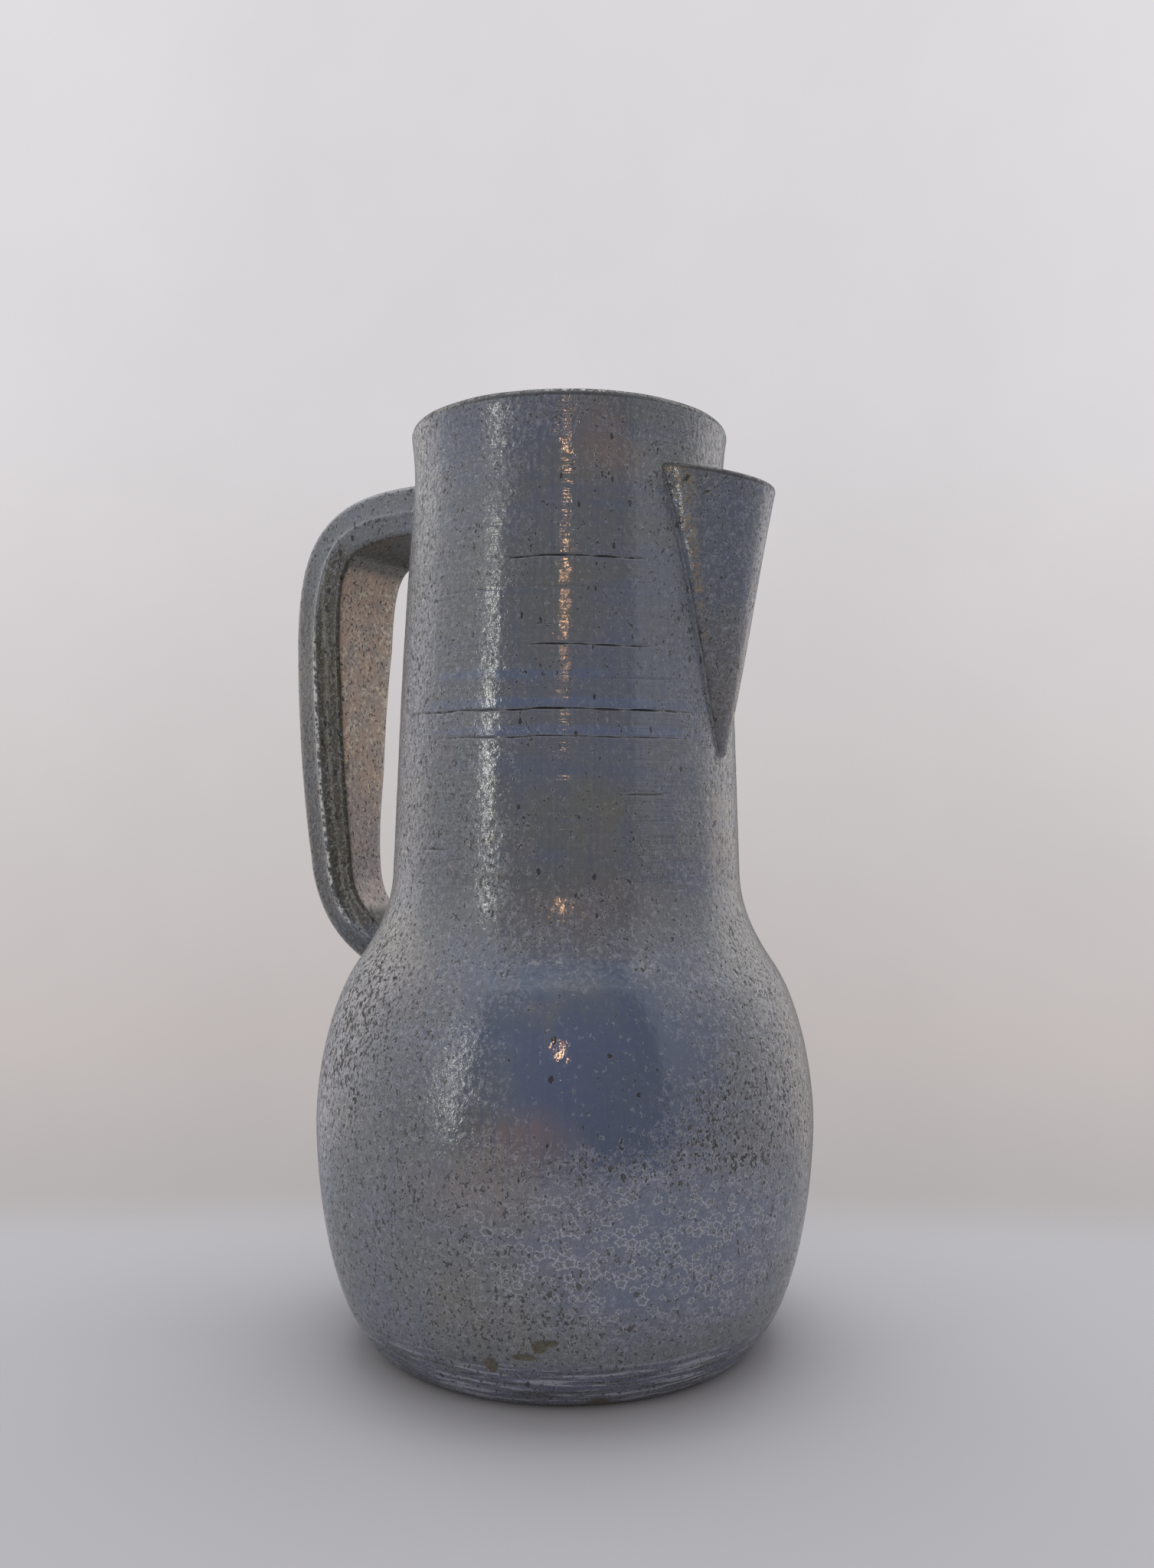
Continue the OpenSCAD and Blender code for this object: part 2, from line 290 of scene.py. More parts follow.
# Inputs are given as a number, which is the default, or as a kind of socket, and come back in that order
def newGroup(name, kind="ShaderNodeTree", **inputs):
    tree = bpy.data.node_groups.new(name, kind)
    for key, value in inputs.items():
        socketKind = value if isinstance(value, str) else socketKinds["VALUE"]
        socket = tree.interface.new_socket(key, in_out="INPUT", socket_type=socketKind)
        if socketKind != value:
            socket.default_value = value
    given = tree.nodes.new("NodeGroupInput")
    return tree, *(Flow(given.outputs[key]) for key in inputs)


def closeGroup(tree, **results):
    for key, result in results.items():
        tree.interface.new_socket(key, in_out="OUTPUT", socket_type=socketKinds[result.socket.type])
    out = tree.nodes.new("NodeGroupOutput")
    for key, result in results.items():
        tree.links.new(result.socket, out.inputs[key])
    return tree


def useGroup(tree, group, **values):
    made = addNode(tree, tree.bl_idname.replace("Tree", "Group"), values, node_tree=group)
    return {socket.name: Flow(socket) for socket in made.socket.node.outputs}


def emptyTree(owner):
    owner.use_nodes = True
    owner.node_tree.nodes.clear()
    return owner.node_tree


# Thrown wall: a profile turned on the wheel, with throwing rings, a little out of round, and grooves
wheel = {"segments": 240, "drift": 0.30, "rimDrift": 0.3,
         "ringDepth": {"belly": 0.05, "neck": 0.10, "fillet": 0.05},
         "ringPitch": {"belly": 5.0, "neck": 3.4, "fillet": 5.0}}
# height, depth, half width, middle of the stretch as degrees from the photo's centre line, half its span
grooves = [(215.6, 0.46, 0.30, 2, 25), (207.3, 0.12, 0.26, -14, 38), (192.4, 0.42, 0.28, 7, 21),
           (183.8, 0.14, 0.26, 20, 14), (183.8, 0.18, 0.26, -58, 12), (175.7, 0.46, 0.28, -10, 58),
           (168.6, 0.34, 0.26, -2, 46), (153.8, 0.36, 0.42, 24, 9), (139.3, 0.36, 0.42, -45, 6),
           (201.0, 0.20, 0.30, 150, 60), (161.0, 0.26, 0.28, 110, 40), (187.0, 0.26, 0.28, -150, 45)]
viewTurn = -60  # azimuth of the photo's centre line on the pot, in degrees


def buildGrooveGroup():
    tree, turn, height, flat, at, depth, width, centre, span = newGroup(
        "wheelGroove", "GeometryNodeTree", Turn=0.0, Height=0.0, Round=vectorKind, At=0.0, Depth=0.0005,
        Width=0.0004, Centre=0.0, Span=0.5)
    away = (height - (at + (noise(flat, 3.0, 1.0) - 0.5) * 0.0016)) / width
    shape = calc("EXPONENT", away * away * -1.0)
    turned = calc("WRAP", turn - centre, math.pi, -math.pi)
    ends = ramp(calc("ABSOLUTE", turned), span, span * 0.75)
    broken = ramp(noise(flat, 14.0), 0.32, 0.58, 0.25, 1.0)
    return closeGroup(tree, Cut=shape * ends * (broken * depth))


def buildWallTree(grooveGroup, glaze):
    tree, profile, segments, ringDepth, ringPitch, outOfRound, rimDrift = newGroup(
        "thrownWall", "GeometryNodeTree", Profile=socketKinds["GEOMETRY"], Segments="NodeSocketInt",
        RingDepth=0.0001, RingPitch=0.004, Drift=0.0003, RimDrift=0.0003)
    rows = addNode(tree, "GeometryNodeAttributeDomainSize", {0: profile}, "Point Count", component="MESH")
    wall = addNode(tree, "GeometryNodeMeshGrid", {
        "Size X": 1.0, "Size Y": 1.0, "Vertices X": segments + 1.0, "Vertices Y": rows}, "Mesh")
    here = addNode(tree, "GeometryNodeInputPosition")
    x, y = splitXyz(here)[:2]
    turn = (x + 0.5) * tau
    row = calc("ROUND", (y + 0.5) * (rows - 1.0))

    def fromProfile(dataType, value):
        inputs = {"Geometry": profile, "Value": value, "Index": row}
        return addNode(tree, "GeometryNodeSampleIndex", inputs, data_type=dataType, domain="POINT")

    def marked(key):
        named = addNode(tree, "GeometryNodeInputNamedAttribute", {"Name": key}, data_type="FLOAT")
        return fromProfile("FLOAT", named)

    radius, _, height = splitXyz(fromProfile("FLOAT_VECTOR", here))
    cosine, sine = calc("COSINE", turn), calc("SINE", turn)
    flat = joinXyz(cosine, sine, 0.0)
    rings = (noise(joinXyz(cosine * 0.4, sine * 0.4, height / ringPitch)) - 0.5) * ringDepth
    drift = (noise(joinXyz(cosine, sine, height * 9.0), 1.1, 1.0) - 0.5) * outOfRound
    moved = (rings * 2.0 + drift * 2.0) * marked("worked")
    cut = 0.0
    for at, deep, width, middle, span in grooves:
        cut = cut + useGroup(tree, grooveGroup, Turn=turn, Height=height, Round=flat, At=at * mm,
                             Depth=deep * mm, Width=width * mm, Centre=math.radians(viewTurn + middle),
                             Span=math.radians(span))["Cut"]
    cut = cut * marked("cuts")
    wallR = radius + moved - cut
    rimLift = (noise(flat, 1.6) - 0.5) * rimDrift * ramp(height, 0.236, 0.258)
    place = joinXyz(wallR * cosine, wallR * sine, height + rimLift * 2.0)
    for key, value in (("groove", cut / 0.0005), ("edge", marked("edge"))):
        inputs = {"Geometry": wall, "Name": key, "Value": value}
        wall = addNode(tree, "GeometryNodeStoreNamedAttribute", inputs, data_type="FLOAT", domain="POINT")
    wall = addNode(tree, "GeometryNodeSetPosition", {"Geometry": wall, "Position": place})
    wall = addNode(tree, "GeometryNodeMergeByDistance", {"Geometry": wall, "Distance": 2e-6})
    wall = addNode(tree, "GeometryNodeRealizeInstances", {"Geometry": wall})
    wall = addNode(tree, "GeometryNodeSetMaterial", {"Geometry": wall, "Material": glaze})
    return closeGroup(tree, Wall=wall)


# Stretches: a line of the profile, how freely it moves, how far its edge is darkened and roughened, its share
# of the grooves
def thrownWall(name, tree, stretches, kind, glaze):
    points, marks = [], []
    for line, *shares in stretches:
        for p in line:
            if points and np.hypot(*(p - points[-1])) < 1e-4:
                continue
            points.append(np.asarray(p, float))
            marks.append(shares)
    mesh = bpy.data.meshes.new(name)
    edges = [(i, i + 1) for i in range(len(points) - 1)]
    mesh.from_pydata([(r * mm, 0, z * mm) for r, z in points], edges, [])
    setAttributes(mesh, dict(zip(("worked", "edge", "cuts"), np.transpose(marks))))
    obj = addObject(name, mesh)
    modifier = obj.modifiers.new("wheel", "NODES")
    modifier.node_group = tree
    values = {"Segments": wheel["segments"], "RingDepth": wheel["ringDepth"][kind] * mm,
              "RingPitch": wheel["ringPitch"][kind] * mm, "Drift": wheel["drift"] * mm,
              "RimDrift": wheel["rimDrift"] * mm}
    for item in tree.interface.items_tree:
        if item.name in values:
            modifier[item.identifier] = values[item.name]
    bake(obj, glaze)
    turnOutward(obj.data)
    print(name, len(obj.data.vertices), "points")
    return obj


def tucked(line, start, end):
    share = np.minimum(1, 3 * np.linspace(start, end, len(line)))
    return line - np.outer(share, (pot["tuck"], 0))


def neckRows():
    line = np.vstack([run(taper, taperStart, 1, 200), run(flare, 0, 1, 60)[1:]])
    near = np.array([0.1, 0.25, 0.4, 0.55, 0.75, 0.95, 1.2, 1.5, 1.9])
    heights = [np.arange(line[0, 1], line[-1, 1], 1.7)]
    for groove in grooves:
        heights += [groove[0] - near, groove[0] + near]
    kept = [line[0, 1]]
    for z in np.unique(np.round(np.concatenate(heights), 3))[1:]:
        if z - kept[-1] > 0.11 and z < line[-1, 1] - 0.3:
            kept.append(z)
    kept = np.array(kept + [line[-1, 1]])
    return np.stack([np.interp(kept, line[:, 1], line[:, 0]), kept], 1)


def makePot(glaze):
    tree = buildWallTree(buildGrooveGroup(), glaze)
    flatR = footR - pot["footRound"]
    footCurve = [(flatR, 0), (footR - 0.3, 0), (footR + 0.2, 0.5), bezier(swell, 0.04)[0]]
    bottom = np.stack([np.linspace(0, flatR, 9), np.zeros(9)], 1)
    floor = np.stack([np.linspace(bowl[0][0], 0, 9), np.full(9, pot["floorT"])], 1)
    # the foot's rounding is darkened as an edge: partly bare clay, partly painted shadow
    belly = thrownWall("bellyWall", tree, [
        (bottom, 0, 0, 0), (run(footCurve, 0, 1, 8), 0.3, 1, 0), (run(swell, 0.05, 1, 64), 1, 0, 0),
        (run(dome, 0, domeEnd, 46), 1, 0, 0), (tucked(run(dome, domeEnd, 1, 8), 0, 1), 1, 0, 0),
        ([(throatR, seatZ)], 1, 0, 0), (run(vault, 1, 0, 34), 0.5, 0, 0),
        (run(bowl, 1, 0, 30), 0.3, 0, 0), (floor, 0, 0, 0)], "belly", glaze)
    rimMid = np.array([rimR - neckT / 2, potH - neckT / 2])
    arc = np.radians(np.linspace(0, 180, 17))[1:]
    rim = rimMid + neckT / 2 * np.stack([np.cos(arc), np.sin(arc)], 1)
    z = np.linspace(potH - pot["innerTop"], seatZ, 70)
    neckLine = run(taper, 0, 1, 200)
    innerLine = np.minimum(potR(z), np.interp(z, neckLine[:, 1], neckLine[:, 0])) - neckT
    low = tucked(run(taper, 0, taperStart, 10), 1, 0)
    neck = thrownWall("neckWall", tree, [
        (low, 1, 0, 0), (neckRows(), 1, 0, 1), (rim, 1, 1, 0), (np.stack([innerLine, z], 1), 0.8, 0, 0),
        (low[:1], 1, 0, 0)], "neck", glaze)
    fillet = thrownWall("shoulderFillet", tree, [
        (run(hollow, 0, 1, 40), 1, 0, 0), (run(taper, taperStart, 0, 10), 1, 0, 0),
        (run(dome, 1, domeEnd, 10), 1, 0, 0)], "fillet", glaze)
    return belly, neck, fillet


# Spout: a flared half cone on the neck, with a channel behind its lip
spout = {"lipZ": 242, "tipZ": 166.5, "lipR": 20.2, "tipR": 2.4, "set": 0.8, "wall": 4, "fall": 10,
         "lipRound": 1.7, "windowGap": 3, "sink": 1.3, "filletReach": 1.4, "filletTip": 0.55,
         "filletTop": 2.4, "filletWave": 0.22, "filletSink": 0.9}
spoutFoot = np.array([potR(spout["tipZ"]) - spout["set"], spout["tipZ"]])
spoutHead = np.array([potR(spout["lipZ"]) - spout["set"], spout["lipZ"]])
spoutLen = np.linalg.norm(spoutHead - spoutFoot)
spoutUp = (spoutHead - spoutFoot) / spoutLen
spoutOut = np.array([spoutUp[1], -spoutUp[0]])
cone = [(spout["tipR"], 0), (between(spout["tipR"], spout["lipR"], 0.38), spoutLen / 3),
        (between(spout["tipR"], spout["lipR"], 0.62), 2 * spoutLen / 3), (spout["lipR"], spoutLen)]
coneLine = run(cone, 0, 1, 200)
coneSpread = (cone[3][0] - cone[2][0]) / (spoutLen / 3)
channelS = np.interp(1.35 * spout["wall"], coneLine[:, 0], coneLine[:, 1])


def coneR(s):
    s = np.asarray(s, float)
    body = np.interp(s, coneLine[:, 1], coneLine[:, 0])
    tip = np.sqrt(np.maximum(0.04, spout["tipR"] ** 2 - np.minimum(s, 0) ** 2))
    return np.where(s < 0, tip, np.where(s > spoutLen, spout["lipR"] + coneSpread * (s - spoutLen), body))


def spoutPoint(s, angle, radius):
    x = spoutFoot[0] + s * spoutUp[0] + radius * np.cos(angle) * spoutOut[0]
    z = spoutFoot[1] + s * spoutUp[1] + radius * np.cos(angle) * spoutOut[1]
    return np.stack([x, radius * np.sin(angle), z], -1)


def wallAngle(s, radius, depth):
    z = spoutFoot[1] + s * spoutUp[1]
    hub, target = spoutFoot[0] + s * spoutUp[0], potR(z) - depth
    return np.arccos(np.clip((target**2 - hub**2 - radius**2) / (2 * hub * radius), -0.999, 0.999))


def lipStop(angle, thinner, below=0.0):
    fall = math.radians(spout["fall"])
    normal = np.array([math.sin(fall), 0, math.cos(fall)])
    head = np.array([spoutHead[0], 0, spoutHead[1] - below])
    low, high = np.full_like(angle, 0.4 * spoutLen), np.full_like(angle, 1.4 * spoutLen)
    for _ in range(50):
        mid = (low + high) / 2
        above = (spoutPoint(mid, angle, coneR(mid) - thinner) - head) @ normal > 0
        low, high = np.where(above, low, mid), np.where(above, mid, high)
    return (low + high) / 2


def makeSpout(glaze):
    ring, rows, lipRows = 81, 84, 9
    wall, lip, sink = spout["wall"], spout["lipRound"], spout["sink"]
    across = np.linspace(-1, 1, ring)
    startS = -0.93 * spout["tipR"]
    topAngle = across * wallAngle(spoutLen, coneR(spoutLen), sink)
    topInner = across * wallAngle(spoutLen, coneR(spoutLen) - wall, 0.02)
    outerStop, innerStop = lipStop(topAngle, 0.0), lipStop(topInner, wall)
    loops, edge, around = [], [], []
    for share in np.concatenate([np.linspace(0, 0.05, 8)[:-1], np.linspace(0.05, 1, rows - 7)]):
        s = startS + share * (outerStop - lip - startS)
        half = wallAngle(s, coneR(s), sink)
        outerLine = spoutPoint(s, across * half, coneR(s))
        around.append(np.concatenate([across * half * 2 / math.pi, np.zeros(ring)]))
        si = startS + share * (innerStop - lip - startS)
        inR = np.maximum(coneR(si) - wall, 0.35 * wall)
        innerLine = spoutPoint(si, across * wallAngle(si, inR, 0.02), inR)
        # below the channel the spout is solid, and its back lies in the neck's wall
        backR = potR(innerLine[:, 2]) - sink - 0.1
        side = across * np.arcsin(np.clip(coneR(s) * np.sin(half) / backR, -1, 1)) * 0.96
        back = np.stack([backR * np.cos(side), backR * np.sin(side), spoutFoot[1] + s * spoutUp[1]], 1)
        innerLine = np.where((si < channelS)[:, None], back, innerLine)
        loops.append(np.vstack([outerLine, innerLine[::-1]]))
        edge.append(np.zeros(2 * ring))
    outerTop, innerTop = loops[-1][:ring], loops[-1][ring:][::-1]
    outerUp = spoutPoint(outerStop, topAngle, coneR(outerStop)) - outerTop
    innerUp = spoutPoint(innerStop, topInner, coneR(innerStop) - wall) - innerTop
    middle, rise, spread = (outerTop + innerTop) / 2, (outerUp + innerUp) / 2, (outerTop - innerTop) / 2
    for turn in np.linspace(0, math.pi / 2, lipRows)[1:]:
        bulge = spread * abs(math.cos(turn)) ** 0.8
        top = middle + rise * math.sin(turn) ** 0.9
        loops.append(np.vstack([top + bulge, (top - bulge)[::-1]]))
        edge.append(np.ones(2 * ring))
        around.append(around[-1])
    return makeMesh("spoutCone", np.vstack(loops), tubeFaces(len(loops), 2 * ring, capEnd=False), glaze,
                    {"edge": np.concatenate(edge), "around": np.concatenate(around)}, weld=4e-6)


def cutWindow(neck, glaze):
    ring, wall = 72, spout["wall"]
    angles = np.linspace(0, tau, ring, endpoint=False)
    stop = lipStop(angles, wall, spout["windowGap"])
    tip = float(coneR(channelS)) - wall
    rows = [spoutPoint(np.full(ring, channelS - tip * math.sin(turn)), angles, tip * math.cos(turn))
            for turn in np.radians([80, 55, 30])]
    for share in np.linspace(0, 1, 40):
        s = channelS + share * (stop - channelS)
        rows.append(spoutPoint(s, angles, coneR(s) - wall))
    cutter = makeMesh("windowCutter", np.vstack(rows), tubeFaces(len(rows), ring), glaze, {})
    modifier = neck.modifiers.new("window", "BOOLEAN")
    modifier.operation, modifier.solver, modifier.object = "DIFFERENCE", "EXACT", cutter
    bake(neck, glaze)
    bpy.data.objects.remove(cutter)
    print("neck with its window:", len(neck.data.polygons), "faces")


def makeSpoutFillet(glaze):
    reach, tipShare, sink = spout["filletReach"], spout["filletTip"], spout["filletSink"]
    s = np.concatenate([np.linspace(spoutLen - spout["filletTop"], 6, 70), np.linspace(6, 0.1, 12)[1:]])

    def marks(s, sign):
        radius, wallR = coneR(s), potR(spoutFoot[1] + s * spoutUp[1])
        atHub = wallAngle(s, radius, 0.0)
        seam = spoutPoint(s, sign * atHub, radius)
        grow = reach * between(tipShare, 1, ease(s / 14))
        wide = np.arctan2(np.abs(seam[:, 1]), seam[:, 0]) + grow / wallR
        onNeck = np.stack([wallR * np.cos(wide), sign * wallR * np.sin(wide), seam[:, 2]], 1)
        return seam, onNeck, spoutPoint(s, sign * (atHub - grow / np.maximum(radius, 3.0)), radius)

    def onWall(radius):
        around = np.linspace(-math.pi / 2, math.pi / 2, 19)[1:-1]
        y, z = radius * np.sin(around), spoutFoot[1] + 0.1 - radius * np.cos(around)
        return np.stack([np.sqrt(potR(z) ** 2 - y**2), y, z], 1)

    low = spout["tipR"] * 0.94
    tips = onWall(low), onWall(low + reach * tipShare), onWall(low * 0.62) + [1.25, 0, 0]
    seam, onNeck, onCone = (np.vstack(three) for three in zip(marks(s, -1), tips, marks(s[::-1], 1)))
    n = len(seam)
    wave = np.interp(np.arange(n), np.linspace(0, n - 1, 26), rng.uniform(-1, 1, 26))
    wave = 1 + spout["filletWave"] * wave
    onNeck = seam + (onNeck - seam) * wave[:, None]
    steps = np.linspace(0, 1, 11)[:, None, None]
    surface = (1 - steps) ** 2 * onNeck + 2 * steps * (1 - steps) * seam + steps**2 * onCone
    inward = seam * [1, 1, 0]
    inward = -inward / np.linalg.norm(inward, axis=1)[:, None]
    sunk = [onCone + inward * sink, seam + inward * sink, onNeck + inward * 0.25]
    rings = np.concatenate([surface, sunk])
    count = len(rings)
    # painted shade: the fillet's middle rows, in the crease where the spout meets the neck, get an edge mark
    # that darkens them
    creaseShade = np.interp(np.arange(count), [3, 5.5, 8], [0, 0.8, 0])
    return makeMesh("spoutFillet", rings.transpose(1, 0, 2).reshape(-1, 3), tubeFaces(n, count), glaze,
                    {"edge": np.tile(creaseShade, n)}, sharp=50)


# Handle: a thick pulled strap with a ridge down each side, flared into the pot at both ends
strap = {"topZ": 240.6, "lowZ": 105, "reach": 96.5, "wTop": 31, "wLow": 15.5,
         "tTop": 15.8, "tMid": 20.5, "tLow": 14.6, "ridge": 1.3, "ridgeAt": 0.42,
         "outer": 0.74, "outerTop": 0.86, "edge": 1.4, "slant": 0.5, "crown": 0.35,
         "rootTop": 8, "rootLow": 9, "flare": 4.0, "sink": 2.2, "drift": 0.22}
gripC = strap["reach"] - strap["tMid"] / 2
topR, lowR = float(potR(strap["topZ"])), float(potR(strap["lowZ"]))
arm = gripC - topR
backTop = np.array([gripC - 0.029 * arm, strap["topZ"] - 0.91 * arm])
backLow = np.array([gripC - 0.063 * arm, strap["lowZ"] + 1.2 * (gripC - lowR)])
legs = [
    [(topR, strap["topZ"]), (topR + 0.78 * arm, strap["topZ"]),
     backTop + [-0.024 * arm, 0.73 * arm], backTop],
    [backTop, between(backTop, backLow, 0.3) + [0.039 * arm, 0],
     between(backTop, backLow, 0.7) + [0.0485 * arm, 0], backLow],
    [backLow, (backLow[0] - 0.029 * arm, between(backLow[1], strap["lowZ"], 0.55)),
     (between(backLow[0], lowR, 0.4), between(backLow[1], strap["lowZ"], 0.8)), (lowR, strap["lowZ"])]]
handNoise = rng.uniform(-1, 1, (14, 5))


def strapThick(u):
    if u < 1.3:
        return between(strap["tTop"], strap["tMid"], ease(u / 1.3))
    return between(strap["tMid"], strap["tLow"], ease((u - 1.3) / 1.7))


# Rows of place through the thickness, place across, share of the inner face, wear and painted highlight on
# the ridge's crest
def strapSection(w, t, ridge, outer):
    e, at = strap["edge"], strap["ridgeAt"] * t
    slant = strap["slant"] * ridge / strap["ridge"]
    half, crest, face = w / 2, w / 2 + ridge, outer * w / 2
    rows = [(0, 0.28 * w, 1, 0), (0, half - slant - 1.1 * e, 1, 0),
            (0.25 * e, half - slant - 0.25 * e, 0.6, 0),
            (0.9 * e, half - 0.95 * slant, 0.4, 0), (0.55 * at, half - 0.3 * slant, 0.4, 0),
            (at - 0.9 * e, half + 0.55 * ridge, 0.3, 0.2), (at, crest + 0.2, 0, 1),
            (at + 0.8 * e, between(crest, face, 0.18), 0, 0.2), (0.68 * t, between(crest, face, 0.52), 0, 0),
            (t - 1.2 * e, face + 0.35 * e, 0, 0), (t - 0.3 * e, face - 0.5 * e, 0, 0),
            (t, face - 1.4 * e, 0, 0), (t + strap["crown"], 0.15 * w, 0, 0)]
    rows = np.array(rows, float) - [t / 2, 0, 0, 0]
    rows = np.vstack([rows, rows[::-1] * [1, -1, 1, 1]])
    for _ in range(2):  # cut the corners so that edges are eased
        after = np.roll(rows, -1, 0)
        rows = np.stack([0.75 * rows + 0.25 * after, 0.25 * rows + 0.75 * after], 1).reshape(-1, 4)
    return rows[:, :2], rows[:, 2], rows[:, 3]


def strapRing(u):
    leg = min(2, int(u))
    at, along = bezier(legs[leg], u - leg)[0], heading(legs[leg], u - leg)[0]
    across = np.array([-along[1], along[0]])
    lowEnd = ease((2.95 - u) / 0.5)
    fade, tinted = ease((u - 0.6) / 0.6) * lowEnd, ease((u - 0.25) / 0.5) * lowEnd
    widths = [strap["wTop"], 0.94 * strap["wTop"], 1.12 * strap["wLow"], strap["wLow"]]
    wide = np.interp(u, [0, 1, 2, 3], widths)
    outer = between(strap["outerTop"], strap["outer"], ease((u - 0.5) / 0.7))
    line, inner, wearAndGlint = strapSection(wide, strapThick(u), strap["ridge"] * (0.1 + 0.9 * fade), outer)
    place = at + line[:, :1] * across
    outward = line - line.mean(0)
    outward = outward / np.linalg.norm(outward, axis=1)[:, None]
    lean = outward[:, :1] * across
    points = np.stack([-place[:, 0], line[:, 1], place[:, 1]], 1)
    normals = np.stack([-lean[:, 0], outward[:, 1], lean[:, 1]], 1)
    return points, normals, inner * (0.35 + 0.65 * tinted), wearAndGlint * fade, np.array([-along[0], 0, along[1]])


def luted(points, normals):
    r, out = strap["flare"], np.zeros(len(points))
    for _ in range(12):  # a round fillet: the nearer the wall, the further out
        moved = points + normals * out[:, None]
        near = np.clip(r - np.hypot(moved[:, 0], moved[:, 1]) + potR(moved[:, 2]), 0, r)
        out = 0.5 * out + 0.5 * (r - np.sqrt(r * r - near * near))
    return points + normals * out[:, None]


def handFormed(u, points, normals):
    turn = np.linspace(0, tau, len(points), endpoint=False)
    first, second = (np.interp(u * 13 / 3, np.arange(14), handNoise[:, i]) for i in (0, 1))
    drift = strap["drift"] * (first * np.cos(turn) + second * np.sin(2 * turn))
    return luted(points, normals) + normals * drift[:, None]


def makeStrap(name, stations, glaze, sinkAt=None):
    rings, inner, wearAndGlint = [], [], []
    for u in stations:
        points, normals, innerRow, wearAndGlintRow, along = strapRing(u)
        rings.append(handFormed(u, points, normals))
        inner.append(innerRow)
        wearAndGlint.append(wearAndGlintRow)
    count = len(points)
    if sinkAt is not None:  # carry the end on into the wall, each point to the same depth
        direction = along * (-1 if sinkAt == 0 else 1)
        travel = np.zeros(count)
        for _ in range(120):
            there = points + normals * strap["flare"] + direction * travel[:, None]
            shallow = np.hypot(there[:, 0], there[:, 1]) > potR(there[:, 2]) - strap["sink"]
            travel = np.where(shallow, travel + 0.15, travel)
        for share in np.linspace(0, 1, 15)[1:]:
            rings.append(handFormed(sinkAt, points + direction * (travel * share)[:, None], normals))
            inner.append(inner[-1])
            wearAndGlint.append(wearAndGlint[-1])
    return makeMesh(name, np.vstack(rings), tubeFaces(len(rings), count), glaze,
                    {"innerFace": np.concatenate(inner), "edge": np.concatenate(wearAndGlint)}, sharp=60)


def makeHandle(glaze):
    topU = strap["rootTop"] / (1.35 * arm)
    lowU = 3 - strap["rootLow"] / (1.55 * (gripC - lowR))
    endU = 2.9999
    handle = makeStrap("handleStrap", np.linspace(topU, lowU, 190), glaze)
    upper = makeStrap("handleUpperRoot", np.linspace(topU, 0, 22), glaze, 0)
    lower = makeStrap("handleLowerRoot", np.linspace(lowU, endU, 22), glaze, endU)
    print("handle:", len(handle.data.polygons), "faces")
    return handle, upper, lower


# Glaze
def tone(r, g, b):
    return tuple(((c / 255 + 0.055) / 1.055) ** 2.4 if c > 10 else c / 255 / 12.92 for c in (r, g, b)) + (1,)


def buildAroundPot():
    tree = newGroup("aroundPot")[0]
    point = scaled(addNode(tree, "ShaderNodeTexCoord", output="Object"), 1000.0)
    x, y, z = splitXyz(point)
    turn = calc("ARCTAN2", y, x)
    return closeGroup(tree, Point=point, Wrap=joinXyz(turn * 60.0, z, 0.0), Turn=turn, Height=z)


def buildSpecks():
    tree, vector, cell, stretch, size, share = newGroup(
        "glazeSpecks", Vector=vectorKind, Cell=2.0, Stretch=1.0, Size=0.2, Share=0.5)
    x, y = splitXyz(vector)[:2]
    found = cells(joinXyz(x / cell, y / (cell * stretch), 0.0), "2D")
    chance, bigger = splitXyz(found.beside("Color"))[:2]
    far = found / (size * (bigger * 0.9 + 0.55))
    return closeGroup(tree, Core=ramp(far, 1.0, 0.75) * calc("LESS_THAN", chance, share))


def buildGrit():
    tree, vector, size, crowd = newGroup("glazeGrit", Vector=vectorKind, Size=1.0, Crowd=0.5)
    x, y, z = splitXyz(vector)
    level = noise(joinXyz(x / size, y / size, z / (size * 1.35)), 1.0, 2.0, 0.6) + crowd * 0.07
    core = ramp(level, 0.645, 0.69)
    return closeGroup(tree, Core=core, Ring=ramp(level, 0.575, 0.625) * (1.0 - core))


def buildPeel():
    tree, vector, cell = newGroup("glazePeel", Vector=vectorKind, Cell=2.0)
    found = cells(scaled(vector, calc("DIVIDE", 1.0, cell)), "3D", feature="SMOOTH_F1")
    found.socket.node.inputs["Smoothness"].default_value = 0.35
    return closeGroup(tree, Height=ramp(found, 0.12, 0.62))


def buildStars():
    tree, vector, cell, size, share = newGroup("glazeStars", Vector=vectorKind, Cell=3.0, Size=0.4, Share=0.7)
    place = vectorCalc("DIVIDE", vector, joinXyz(cell, cell, cell))
    found = cells(place, "2D")
    chance, bigger, swing = splitXyz(found.beside("Color"))
    dx, dy = splitXyz(vectorCalc("SUBTRACT", place, found.beside("Position")))[:2]
    turn = calc("ARCTAN2", dy, dx) + swing * tau
    arms = calc("PINGPONG", turn * (5 / math.pi), 1.0)
    far = found / (size * (bigger * 0.7 + 0.6) * (arms * 0.5 + 0.74))
    kept = calc("LESS_THAN", chance, share)
    return closeGroup(tree, Outline=ramp(far, 0.68, 0.84) * ramp(far, 1.14, 0.98) * kept,
                      Fill=ramp(far, 0.92, 0.8) * kept)


